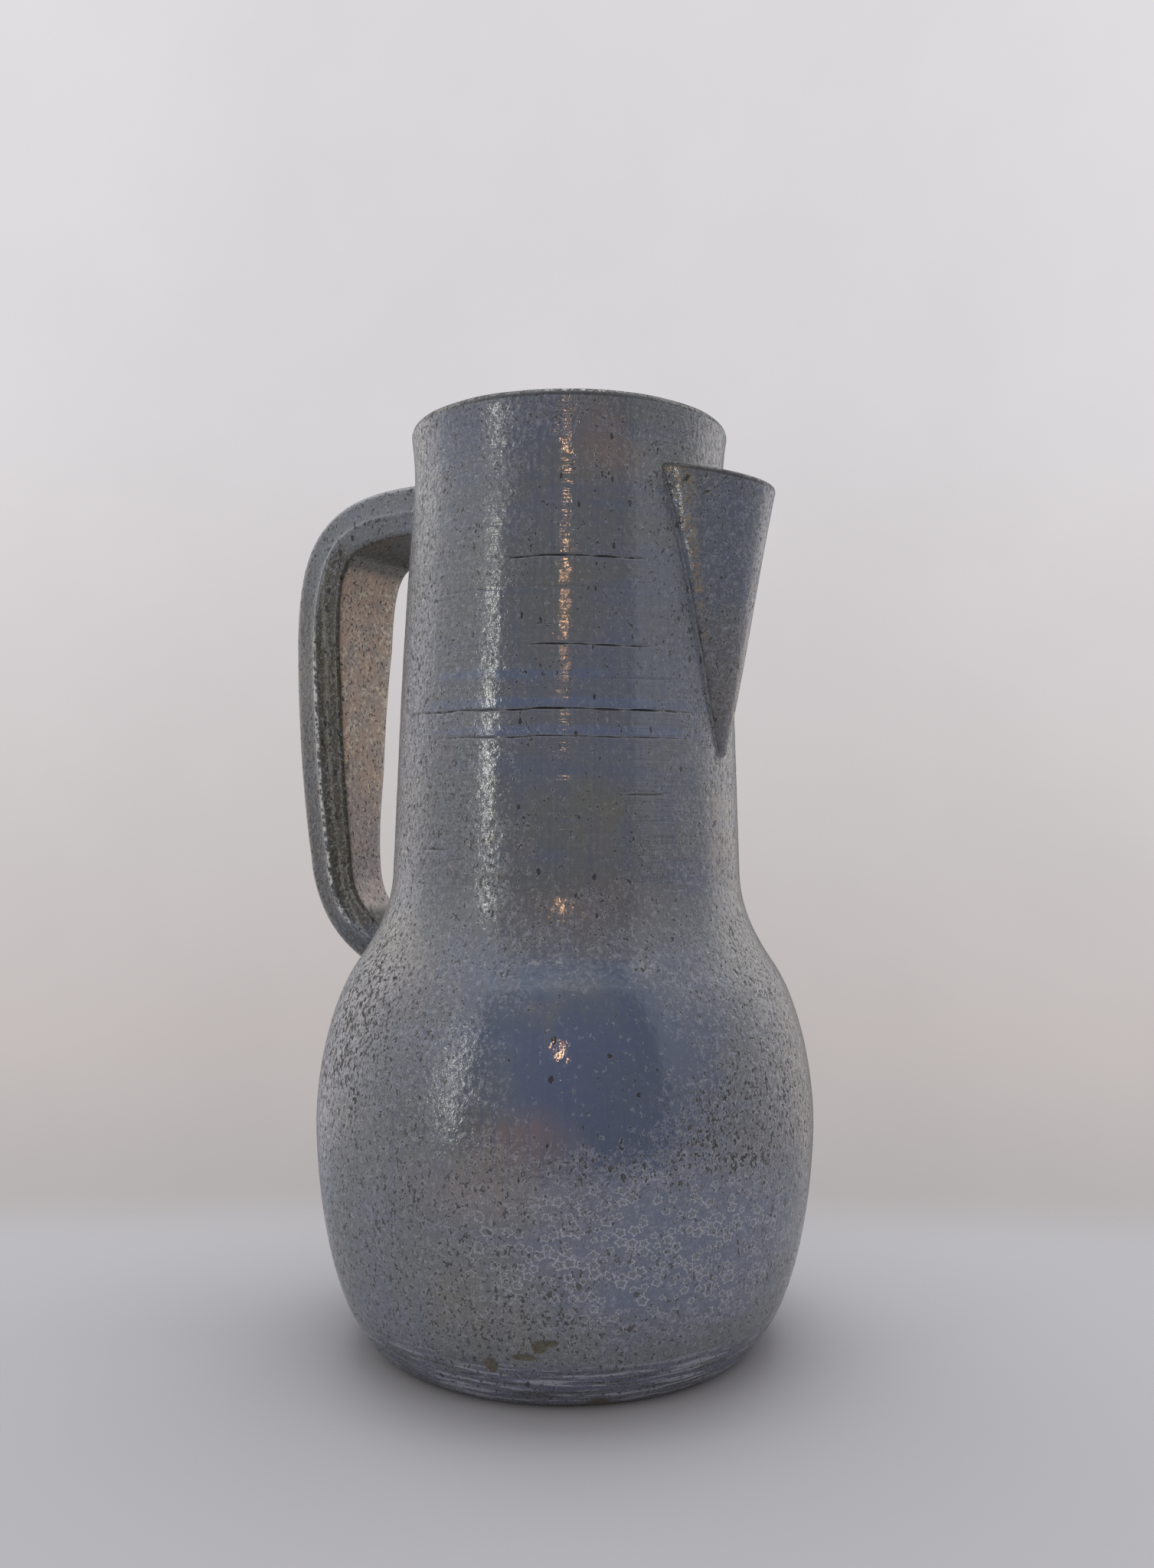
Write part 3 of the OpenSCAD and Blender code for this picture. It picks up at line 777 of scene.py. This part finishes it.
def buildPatch():
    tree, turn, height, ragged, middle, at, wide, tall, soft = newGroup(
        "glazePatch", Turn=0.0, Height=0.0, Ragged=0.5, Middle=0.0, At=0.0, Wide=20.0, Tall=20.0, Soft=0.6)
    turned = calc("WRAP", turn - calc("RADIANS", middle + float(viewTurn)), math.pi, -math.pi)
    side, up = calc("DEGREES", turned) / wide, (height - at) / tall
    far = calc("SQRT", side * side + up * up) + (ragged - 0.5) * 1.2
    return closeGroup(tree, Mask=ramp(far, soft + 1.0, 1.0 - soft))


aroundPot, glazeSpecks, glazePeel = buildAroundPot(), buildSpecks(), buildPeel()
glazeStars, glazePatch, glazeGrit = buildStars(), buildPatch(), buildGrit()

glazeTones = {
    "slate": tone(92, 99, 112), "blue": tone(78, 92, 122), "moss": tone(92, 96, 97),
    "olive": tone(102, 99, 80), "copper": tone(136, 108, 97), "pale": tone(162, 165, 177),
    "dark": tone(30, 31, 31), "clay": tone(74, 66, 46), "deep": tone(62, 76, 110),
    "brown": tone(98, 87, 80), "violet": tone(76, 77, 104), "shade": tone(56, 60, 70),
    "lilac": tone(142, 138, 146), "azure": tone(88, 104, 138), "gold": tone(150, 122, 74),
    "rust": tone(208, 176, 152), "cream": tone(238, 226, 200), "umber": tone(174, 158, 149),
    "white": tone(232, 233, 228), "channel": tone(70, 63, 42)}


def lay(colour, *coats):
    for key, share in coats:
        colour = mixColour(share, colour, glazeTones[key])
    return colour


def shifted(vector, *by):
    return vectorCalc("ADD", vector, by)


def readAttribute(tree, key):
    return addNode(tree, "ShaderNodeAttribute", output="Fac", attribute_name=key, attribute_type="GEOMETRY")


def finishGlaze(tree, values, colour, rough, height):
    bump = {"Strength": 1.0, "Distance": values["depth"] * mm, "Height": height}
    normal = addNode(tree, "ShaderNodeBump", bump)
    shader = addNode(tree, "ShaderNodeBsdfPrincipled", {"IOR": values["ior"], "Roughness": values["rough"]})
    for key, source in (("Base Color", colour), ("Roughness", rough), ("Normal", normal)):
        tree.links.new(source.socket, shader.socket.node.inputs[key])
    addNode(tree, "ShaderNodeOutputMaterial", {"Surface": shader})


def makeGlaze(name, values):
    material = bpy.data.materials.new(name)
    tree = emptyTree(material)
    place = useGroup(tree, aroundPot)
    point, wrap, level = place["Point"], place["Wrap"], place["Height"]
    warped = shaken(point, point, 0.9, 1.1)
    cloudTwo = noise(shifted(point, 310, 70, 20), 1 / 30, 3.0, 0.6)
    cloudThree = noise(shifted(point, -90, 210, 130), 1 / 26, 3.0, 0.6)
    ragged = noise(point, 1 / 9, 3.0, 0.6)
    wx, wy = splitXyz(wrap)[:2]

    def stretched(across, up, seed, detail=3.0):
        return noise(joinXyz(wx * (1 / across), wy * (1 / up), seed), 1.0, detail, 0.6)

    def patches(key, edge=ragged):
        for *leading, middle, at, wide, tall, soft in values[key]:
            made = useGroup(tree, glazePatch, Turn=place["Turn"], Height=level, Ragged=edge,
                            Middle=middle, At=at, Wide=wide, Tall=tall, Soft=soft)
            yield *leading, made["Mask"]

    def added(key, start):
        return sum((mask * share for share, mask in patches(key)), start)

    def strongest(key):
        most = 0.0
        for share, mask in patches(key):
            most = calc("MAXIMUM", most, mask * share)
        return most

    colour = lay(glazeTones["slate"], ("moss", ramp(noise(point, 1 / 42, 3.0, 0.55), 0.36, 0.62)))
    clouds = (("blue", stretched(90, 7.5, 4.0, 2.0), 0.52, 0.66), ("olive", cloudTwo, 0.54, 0.72),
              ("copper", cloudThree, 0.55, 0.72))
    colour = lay(colour, *((key, ramp(cloud, low, high) * values[key]) for key, cloud, low, high in clouds))
    colour = lay(colour, *((key, mask * share) for key, share, mask in patches("patches")))
    calm = strongest("smooth")
    lively = 1.0 - calm * calm
    # fine streaks and grain, whose pale flecks are partly the glaze's own and partly painted crinkle
    # highlights, then turning marks just above the foot
    footMask = ramp(level, 17.0, 10.0)
    for key, across, up, seed, low, high, share in (
            ("deep", 1.3, 42, 0.0, 0.42, 0.68, 0.3),
            ("pale", 1.5, 2.0, 9.0, 0.52, 0.68, lively * 0.32),
            ("dark", 1.1, 1.5, 3.0, 0.56, 0.72, lively * 0.35),
            ("violet", 20, 1.2, 6.0, 0.42, 0.52, footMask * 0.9),
            ("pale", 20, 1.2, 11.0, 0.51, 0.58, footMask * 0.8),
            ("dark", 20, 1.2, 15.0, 0.53, 0.60, footMask * 0.85)):
        colour = lay(colour, (key, ramp(stretched(across, up, seed), low, high) * share))

    # stars of crystal, then grit and pinholes
    starLine = 0.0
    for (mask,) in patches("stars"):
        starAt = shaken(wrap, point, 1.6, 0.7)
        stars = useGroup(tree, glazeStars, Vector=starAt, Cell=2.6, Size=0.38, Share=0.7)
        starLine = stars["Outline"] * mask
        colour = lay(colour, ("moss", stars["Fill"] * mask * 0.5), ("pale", starLine * 0.8))
    crowd = added("dense", ramp(noise(point, 1 / 9, 5.0, 0.62) + values["crowd"], 0.46, 0.72))
    fine = useGroup(tree, glazeGrit, Vector=warped, Size=0.95, Crowd=calc("MINIMUM", crowd, 1.2))
    coarse = useGroup(tree, glazeGrit, Vector=shifted(warped, 17, 5, 9), Size=1.4,
                      Crowd=added("coarse", -0.9))
    pins = useGroup(tree, glazeSpecks, Vector=shaken(wrap, point, 1.1, 1.0), Cell=6.0, Stretch=1.6,
                    Size=0.085, Share=0.2)
    # the spout's gold seam, darkened edges (the rim and the spout's lip, the foot's rounding, partly bare
    # clay and partly painted shadow, and painted shade in the spout fillet's crease), glints and the wheel's
    # grooves come over them
    streak = ramp(readAttribute(tree, "around"), -0.80, -0.90) * ramp(stretched(0.8, 2.0, 21.0), 0.44, 0.58)
    edge = ramp(readAttribute(tree, "edge") + (ragged - 0.5), 0.35, 0.8)
    flecks = ramp(noise(point, 1 / 1.1, 3.0, 0.65), 0.50, 0.58)
    colour = lay(
        colour, ("pale", fine["Ring"] * (lively * values["halo"])), ("pale", coarse["Ring"] * values["halo"]),
        ("dark", coarse["Core"] * 0.92), ("dark", fine["Core"] * 0.92), ("dark", pins["Core"] * 0.95),
        ("gold", streak * 0.5), ("dark", edge * 0.8),
        *(("white", mask * flecks * share) for share, mask in patches("glints", 0.5)),
        ("dark", ramp(readAttribute(tree, "groove"), 0.16, 0.5) * 0.9))

    grain = noise(vectorCalc("MULTIPLY", warped, (1 / 0.8, 1 / 0.8, 1 / 1.9)), 1.0, 3.0, 0.65)
    matte = mixValue(calm, ramp(grain + crowd * 0.05, 0.50, 0.66), 0.0)
    rough = (matte * values["matte"] + fine["Core"] * 0.3 + coarse["Core"] * 0.4 + cloudTwo * 0.06
             + edge * 0.2 + values["rough"])
    rough = mixValue(calm, rough, 0.045)
    peel = useGroup(tree, glazePeel, Vector=warped, Cell=values["peelCell"])["Height"]
    ripple = stretched(25, 0.9, 2.0, 2.0)
    height = (peel * values["peel"] + fine["Core"] * -0.7 + fine["Ring"] * 0.25 + pins["Core"] * -1.8
              + noise(point, 1 / 0.8, 2.0, 0.6) * values["grain"] + ripple * values["ripple"])
    crinkle = strongest("crinkled") * noise(warped, 1 / 1.1, 2.0, 0.6)
    height = (height * (1.0 - calm * 0.65) + coarse["Core"] * -0.8 + crinkle * 3.0
              + ramp(level, 122.0, 135.0) * ripple * 0.8 + starLine * 0.25)
    for (mask,) in patches("bare", noise(point, 1 / 3.0, 3.0)):
        colour = lay(colour, ("clay", mask))
        rough = rough + mask * 0.5
        height = height - mask * 2.5
    finishGlaze(tree, values, colour, rough, height)
    return material


potGlazeValues = {
    "ior": 2.15, "rough": 0.08, "matte": 0.42, "blue": 0.3, "olive": 0.35, "copper": 0.2, "crowd": 0.12,
    "halo": 0.34, "depth": 0.09, "ripple": 0.45, "peel": 0.75, "peelCell": 2.4, "grain": 0.6,
    # tone, share, degrees from the centre line, height, half width in degrees, half height, softness
    "patches": [
        # the shade patches are painted shade, and the olive patch at 72 degrees on the belly's right edge is
        # a painted warm reflection of the backdrop
        ("deep", 0.62, 13, 85, 22, 23, 0.4), ("blue", 0.3, -14, 92, 24, 18, 0.6),
        ("copper", 0.40, -8, 70, 9, 6, 0.8), ("copper", 0.30, 12, 243, 9, 7, 0.8),
        ("brown", 0.4, 5, 123, 28, 8, 0.7), ("olive", 0.5, 17, 151, 9, 4, 0.8),
        ("olive", 0.4, -38, 206, 10, 12, 0.8), ("olive", 0.45, 3, 203, 10, 9, 0.8),
        ("blue", 0.5, -44, 250, 16, 10, 0.6), ("azure", 0.55, -8, 177.4, 58, 1.4, 0.5),
        ("azure", 0.55, -4, 170.2, 50, 1.4, 0.5), ("azure", 0.4, -14, 185, 30, 1.2, 0.6),
        ("azure", 0.5, -68, 62, 9, 26, 0.6), ("shade", 0.28, -25, 84, 10, 16, 0.6),
        ("shade", 0.24, 48, 82, 34, 42, 0.7), ("shade", 0.2, 10, 45, 60, 22, 0.7),
        ("shade", 0.25, -56, 112, 26, 12, 0.7), ("olive", 0.5, -19, 30, 14, 10, 0.8),
        ("blue", 0.7, 26, 42, 30, 20, 0.6), ("copper", 0.25, -16, 57, 14, 7, 0.8),
        ("brown", 0.45, -44, 103, 16, 8, 0.8), ("olive", 0.5, -58, 114, 20, 8, 0.7),
        ("olive", 0.45, 72, 84, 14, 40, 0.6), ("shade", 0.25, 72, 80, 14, 44, 0.6)],
    "dense": [
        (0.25, 0, 42, 95, 26, 0.5), (-0.45, 22, 43, 32, 18, 0.5), (0.7, -62, 95, 26, 22, 0.5),
        (0.6, -60, 58, 26, 22, 0.6), (0.6, -34, 30, 30, 20, 0.6), (0.7, 48, 74, 28, 14, 0.6),
        (0.4, 55, 104, 16, 16, 0.6), (0.5, -62, 190, 18, 76, 0.6), (-1.0, 2, 90, 28, 25, 0.2),
        (-0.5, 4, 190, 34, 76, 0.4)],
    "smooth": [(0.95, 5, 88, 22, 22, 0.2), (0.8, 6, 185, 32, 66, 0.3)],
    "coarse": [
        (1.8, -62, 95, 26, 22, 0.5), (1.7, 48, 74, 28, 14, 0.6), (1.4, 58, 104, 16, 16, 0.6),
        (1.5, -64, 190, 16, 76, 0.6), (1.0, -64, 60, 24, 40, 0.6), (1.2, 16, 64, 30, 6, 0.6)],
    "crinkled": [
        (1.0, -64, 190, 18, 80, 0.5), (0.2, -30, 190, 9, 80, 0.4), (0.5, -62, 95, 24, 24, 0.5),
        (0.5, -27, 92, 9, 20, 0.5), (0.8, 52, 90, 20, 26, 0.5), (0.8, 50, 240, 20, 24, 0.5)],
    "glints": [
        (0.55, 3, 259.7, 18, 0.8, 0.3), (0.15, -5, 111.6, 6, 0.6, 0.6), (0.18, 21, 110, 4, 2, 0.7)],
    "stars": [(23, 42, 44, 20, 0.4)],
    "bare": [
        (-16.2, 13.7, 1.5, 2.2, 0.25), (-8, 16.6, 2.6, 0.9, 0.3), (-4.6, 19.8, 1.7, 2.0, 0.25),
        (-2.2, 20.8, 1.6, 0.8, 0.25), (9.4, 2.0, 3.0, 1.9, 0.25)]}
spoutGlazeValues = dict(
    potGlazeValues, patches=[("blue", 0.45, 62, 222, 30, 24, 0.6), ("brown", 0.4, 58, 182, 30, 20, 0.7)],
    dense=[], stars=[], bare=[], smooth=[], glints=[], coarse=[], crinkled=[], olive=0.1, crowd=0.1)


handleGlazeValues = {"ior": 1.6, "rough": 0.2, "matte": 0.34, "depth": 0.10, "peel": 0.4, "peelCell": 1.9,
                     "grain": 0.45}


def makeHandleGlaze(name, values):
    material = bpy.data.materials.new(name)
    tree = emptyTree(material)
    place = useGroup(tree, aroundPot)
    point, level = place["Point"], place["Height"]
    warped = shaken(point, point, 0.9, 1.1)
    cloud = noise(point, 1 / 22, 3.0, 0.55)
    cloudTwo = noise(shifted(point, 60, 20, 90), 1 / 8, 3.0, 0.6)
    spotted = noise(point, 1 / 1.5, 3.0, 0.65)
    inner, wearAndGlint = readAttribute(tree, "innerFace"), readAttribute(tree, "edge")
    # painted shade: the outer faces darken below 236 mm, and the channel tone darkens the face between the
    # ridge and the inner face
    colour = lay(
        glazeTones["slate"], ("moss", ramp(cloud, 0.36, 0.62)), ("olive", ramp(cloudTwo, 0.5, 0.7) * 0.4),
        ("dark", ramp(inner, 0.1, 0.0) * ramp(level, 236.0, 208.0, 0.0, 0.45)),
        ("pale", ramp(level, 205.0, 232.0, 0.0, 0.22)), ("channel", ramp(inner, 0.1, 0.3) * 0.75))
    # the warm inner face
    inside = ramp(inner, 0.7, 0.95)
    lowPart = ramp(level, 168.0, 140.0) * 0.6
    spots = ramp(spotted, 0.51, 0.58) * ramp(noise(point, 1 / 6), 0.36, 0.56, 0.25, 1.0)
    warm = lay(glazeTones["umber"], ("rust", ramp(cloudTwo, 0.35, 0.65)), ("lilac", lowPart),
               ("cream", spots * (1.0 - lowPart)))
    colour = mixColour(inside, colour, warm)
    crowd = calc("MAXIMUM", ramp(noise(point, 1 / 14), 0.36, 0.66), inner * 0.8)
    fine = useGroup(tree, glazeGrit, Vector=warped, Size=0.95, Crowd=crowd)
    x, y, z = splitXyz(warped)
    speckAt = joinXyz(x + y, z + (x * 0.7 - y * 0.5), 0.0)
    pins = useGroup(tree, glazeSpecks, Vector=speckAt, Cell=5.0, Stretch=1.5, Size=0.12, Share=0.4)
    pinned = pins["Core"] * (1.0 - inside)
    # white along the ridge's crest is partly wear, partly a painted highlight
    colour = lay(
        colour, ("pale", ramp(noise(point, 1 / 0.9, 3.0, 0.65), 0.52, 0.68) * 0.5),
        ("dark", fine["Core"] * 0.85), ("dark", pinned * 0.9),
        ("white", ramp(wearAndGlint, 0.4, 0.7) * ramp(spotted, 0.46, 0.56) * 0.7))
    matte = ramp(noise(warped, 1 / 0.9, 3.0, 0.65), 0.50, 0.66)
    rough = matte * values["matte"] + fine["Core"] * 0.3 + values["rough"]
    peel = useGroup(tree, glazePeel, Vector=warped, Cell=values["peelCell"])["Height"]
    height = (peel * values["peel"] + fine["Core"] * -0.7 + pinned * -1.8
              + noise(point, 1 / 0.8, 2.0, 0.6) * values["grain"])
    finishGlaze(tree, values, colour, rough, height)
    return material


potGlaze, spoutGlaze = makeGlaze("potGlaze", potGlazeValues), makeGlaze("spoutGlaze", spoutGlazeValues)
handleGlaze = makeHandleGlaze("handleGlaze", handleGlazeValues)
print("glazes made")

bellyWall, neckWall, shoulderFillet = makePot(potGlaze)
cutWindow(neckWall, potGlaze)
spoutCone, spoutFillet = makeSpout(spoutGlaze), makeSpoutFillet(spoutGlaze)
handleStrap, handleUpperRoot, handleLowerRoot = makeHandle(handleGlaze)

for piece, nodeName, slot in (
        (bellyWall, "belly", "pot_glaze"), (neckWall, "neck", "pot_glaze"),
        (shoulderFillet, "shoulder_fillet", "pot_glaze"),
        (spoutCone, "spout", "spout_glaze"), (spoutFillet, "spout_fillet", "spout_glaze"),
        (handleStrap, "handle", "handle_glaze"), (handleUpperRoot, "handle_upper_root", "handle_glaze"),
        (handleLowerRoot, "handle_lower_root", "handle_glaze")):
    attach(piece, "root")
    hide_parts(nodeName)
print("pieces placed")


# Camera, floor, backdrop and light
shot = {"distance": 0.3887, "height": 0.1485, "azimuth": 30, "pitch": 1.33, "roll": 0.31, "lens": 30.5,
        "aside": 0.0029}
shotTurn = math.radians(shot["azimuth"])
towardCamera = Vector((math.sin(shotTurn), -math.cos(shotTurn), 0))
cameraRight = Vector((math.cos(shotTurn), math.sin(shotTurn), 0))


def makeCamera():
    data = bpy.data.cameras.new("shotCamera")
    data.lens, data.sensor_width, data.sensor_fit = shot["lens"], 36, "AUTO"
    data.clip_start, data.clip_end = 0.01, 50
    camera = addObject("shotCamera", data)
    camera.location = towardCamera * shot["distance"] + cameraRight * shot["aside"]
    camera.location.z = shot["height"]
    camera.rotation_euler = (math.radians(90 + shot["pitch"]), -math.radians(shot["roll"]), shotTurn)
    scene.camera = camera


# Tones of the backdrop from straight down to straight up
backdrop = [(0.0, tone(180, 179, 181)), (0.36, tone(182, 178, 178)), (0.42, tone(196, 189, 188)),
            (0.5, tone(206, 201, 201)), (0.64, tone(221, 218, 221)), (0.8, tone(227, 225, 227))]
tent = {"open": 46, "openSoft": 3, "openLow": -19, "lowSoft": 2, "openHigh": 58, "highSoft": 10, "dark": 0.19,
        "spread": 0.60 / 0.62, "left": 0.76, "right": 0.6, "behind": 1.1, "centre": 0.925,
        "tint": (0.96, 1.0, 1.015, 1), "warmTint": (1.02, 1.0, 0.95, 1)}


def backdropColour(up):
    shade = addNode(up.tree, "ShaderNodeValToRGB", {0: ramp(up, -1.0, 1.0, shape="LINEAR")})
    elements = shade.socket.node.color_ramp.elements
    elements[0].position, elements[0].color = backdrop[0]
    elements[1].position, elements[1].color = backdrop[-1]
    for position, colour in backdrop[1:-1]:
        elements.new(position).color = colour
    return shade


def makeWorld():
    world = bpy.data.worlds.new("lightTent")
    scene.world = world
    tree = emptyTree(world)
    direction = vectorCalc("NORMALIZE", addNode(tree, "ShaderNodeTexCoord", output="Generated"))
    x, y, z = splitXyz(direction)
    flat = calc("SQRT", x * x + y * y + 1e-6)
    toward, aside = dot(direction, towardCamera) / flat, dot(direction, cameraRight) / flat
    glossy = addNode(tree, "ShaderNodeLightPath", output="Is Glossy Ray")
    # the tent's dark opening, round the camera
    front = np.cos(np.radians([tent["open"] + tent["openSoft"], tent["open"] - tent["openSoft"]]))
    high = np.sin(np.radians([tent["openHigh"] + tent["highSoft"], tent["openHigh"] - tent["highSoft"]]))
    low = np.sin(np.radians([tent["openLow"] - tent["lowSoft"], tent["openLow"] + tent["lowSoft"]]))
    opening = ramp(toward, *front) * (ramp(z, *high) * ramp(z, *low)) * glossy
    mottle = ramp(noise(direction, 7.0, 4.0, 0.6), 0.3, 0.7, 0.985, 1.015)
    seen = scaled(backdropColour(z), ramp(toward, -0.90, -1.0, 1.0, tent["centre"]) * mottle)
    # the tent's walls, as the glaze mirrors them
    glow = ramp(toward, -0.15, -0.42) * ramp(toward, -0.97, -0.78)
    level = ramp(aside, -0.3, 0.3, tent["left"], tent["right"]) + glow * tent["behind"]
    level = level * ramp(toward, -0.99, -0.86, 0.6, 1.0)
    level = mixValue(glossy, tent["spread"], level)
    lit = mixColour(glossy, scaled(seen, level), mixColour(glow, tent["tint"], tent["warmTint"]), "MULTIPLY")
    inTent = mixColour(opening, lit, (tent["dark"], tent["dark"], tent["dark"] * 1.1, 1))
    colour = mixColour(glossy.beside("Is Camera Ray"), inTent, seen)
    addNode(tree, "ShaderNodeOutputWorld", {
        "Surface": addNode(tree, "ShaderNodeBackground", {"Color": colour, "Strength": 1.0})})


table = {"half": 30.0, "ahead": 0.12, "widen": 0.3, "back": 0.07, "backSoft": 0.08, "front": 0.29,
         "frontSoft": 0.03, "tone": tone(178, 178, 181)}


def makeFloor():
    half = table["half"]
    mesh = bpy.data.meshes.new("tableTop")
    corners = [(-half, -half, 0), (half, -half, 0), (half, half, 0), (-half, half, 0)]
    mesh.from_pydata(corners, [], [(0, 1, 2, 3)])
    paper = bpy.data.materials.new("tablePaper")
    tree = emptyTree(paper)
    place = addNode(tree, "ShaderNodeTexCoord", output="Object")
    along = dot(place, towardCamera)
    glossy = addNode(tree, "ShaderNodeLightPath", output="Is Glossy Ray")
    frontMask = ramp(along, table["front"] - table["frontSoft"], table["front"] + table["frontSoft"]) * glossy
    backMask = ramp(along, -table["back"], -table["back"] - table["backSoft"])
    # to the eye the table fades out all round, so that no edge of it shows
    across, ahead = dot(place, cameraRight) * table["widen"], along - table["ahead"]
    reach = table["ahead"] + table["back"]
    farMask = ramp(calc("SQRT", across * across + ahead * ahead), reach, reach + table["backSoft"])
    backMask = mixValue(glossy.beside("Is Camera Ray"), backMask, farMask)
    surface = addNode(tree, "ShaderNodeBsdfDiffuse", {"Color": table["tone"]})
    dark = addNode(tree, "ShaderNodeEmission", {"Color": (tent["dark"], tent["dark"], tent["dark"], 1)})
    for mask, other in ((frontMask, dark), (backMask, addNode(tree, "ShaderNodeBsdfTransparent"))):
        surface = addNode(tree, "ShaderNodeMixShader", {0: mask, 1: surface, 2: other})
    addNode(tree, "ShaderNodeOutputMaterial", {"Surface": surface})
    mesh.materials.append(paper)
    addObject("tableTop", mesh)


# A lamp's place is degrees from the photo's centre line, elevation and distance; it aims at the pot's middle
def makeLamp(name, turn, elevation, distance, width, tall, power, colour):
    data = bpy.data.lights.new(name, "AREA")
    data.shape, data.size, data.size_y = "RECTANGLE", width, tall
    data.energy, data.color = power, colour
    lamp = addObject(name, data)
    azimuth, up = math.radians(viewTurn + turn), math.radians(elevation)
    target = Vector((0, 0, potH / 2 * mm))
    away = Vector((math.cos(azimuth) * math.cos(up), math.sin(azimuth) * math.cos(up), math.sin(up)))
    lamp.location = target + distance * away
    lamp.rotation_euler = (target - lamp.location).to_track_quat("-Z", "Y").to_euler()
    lamp.visible_camera = False
    return lamp


makeCamera()
makeWorld()
makeFloor()
makeLamp("ceilingPanel", 180, 81, 1.0, 0.9, 0.7, 6.6, (1, 1, 1)).visible_glossy = False
makeLamp("leftStrip", -50, 7.5, 0.75, 0.03, 0.44, 0.33, (1, 1, 0.9))
makeLamp("warmGap", -2, 20, 0.83, 0.005, 0.08, 0.1, (1, 0.56, 0.28))
print("camera, floor and light set")
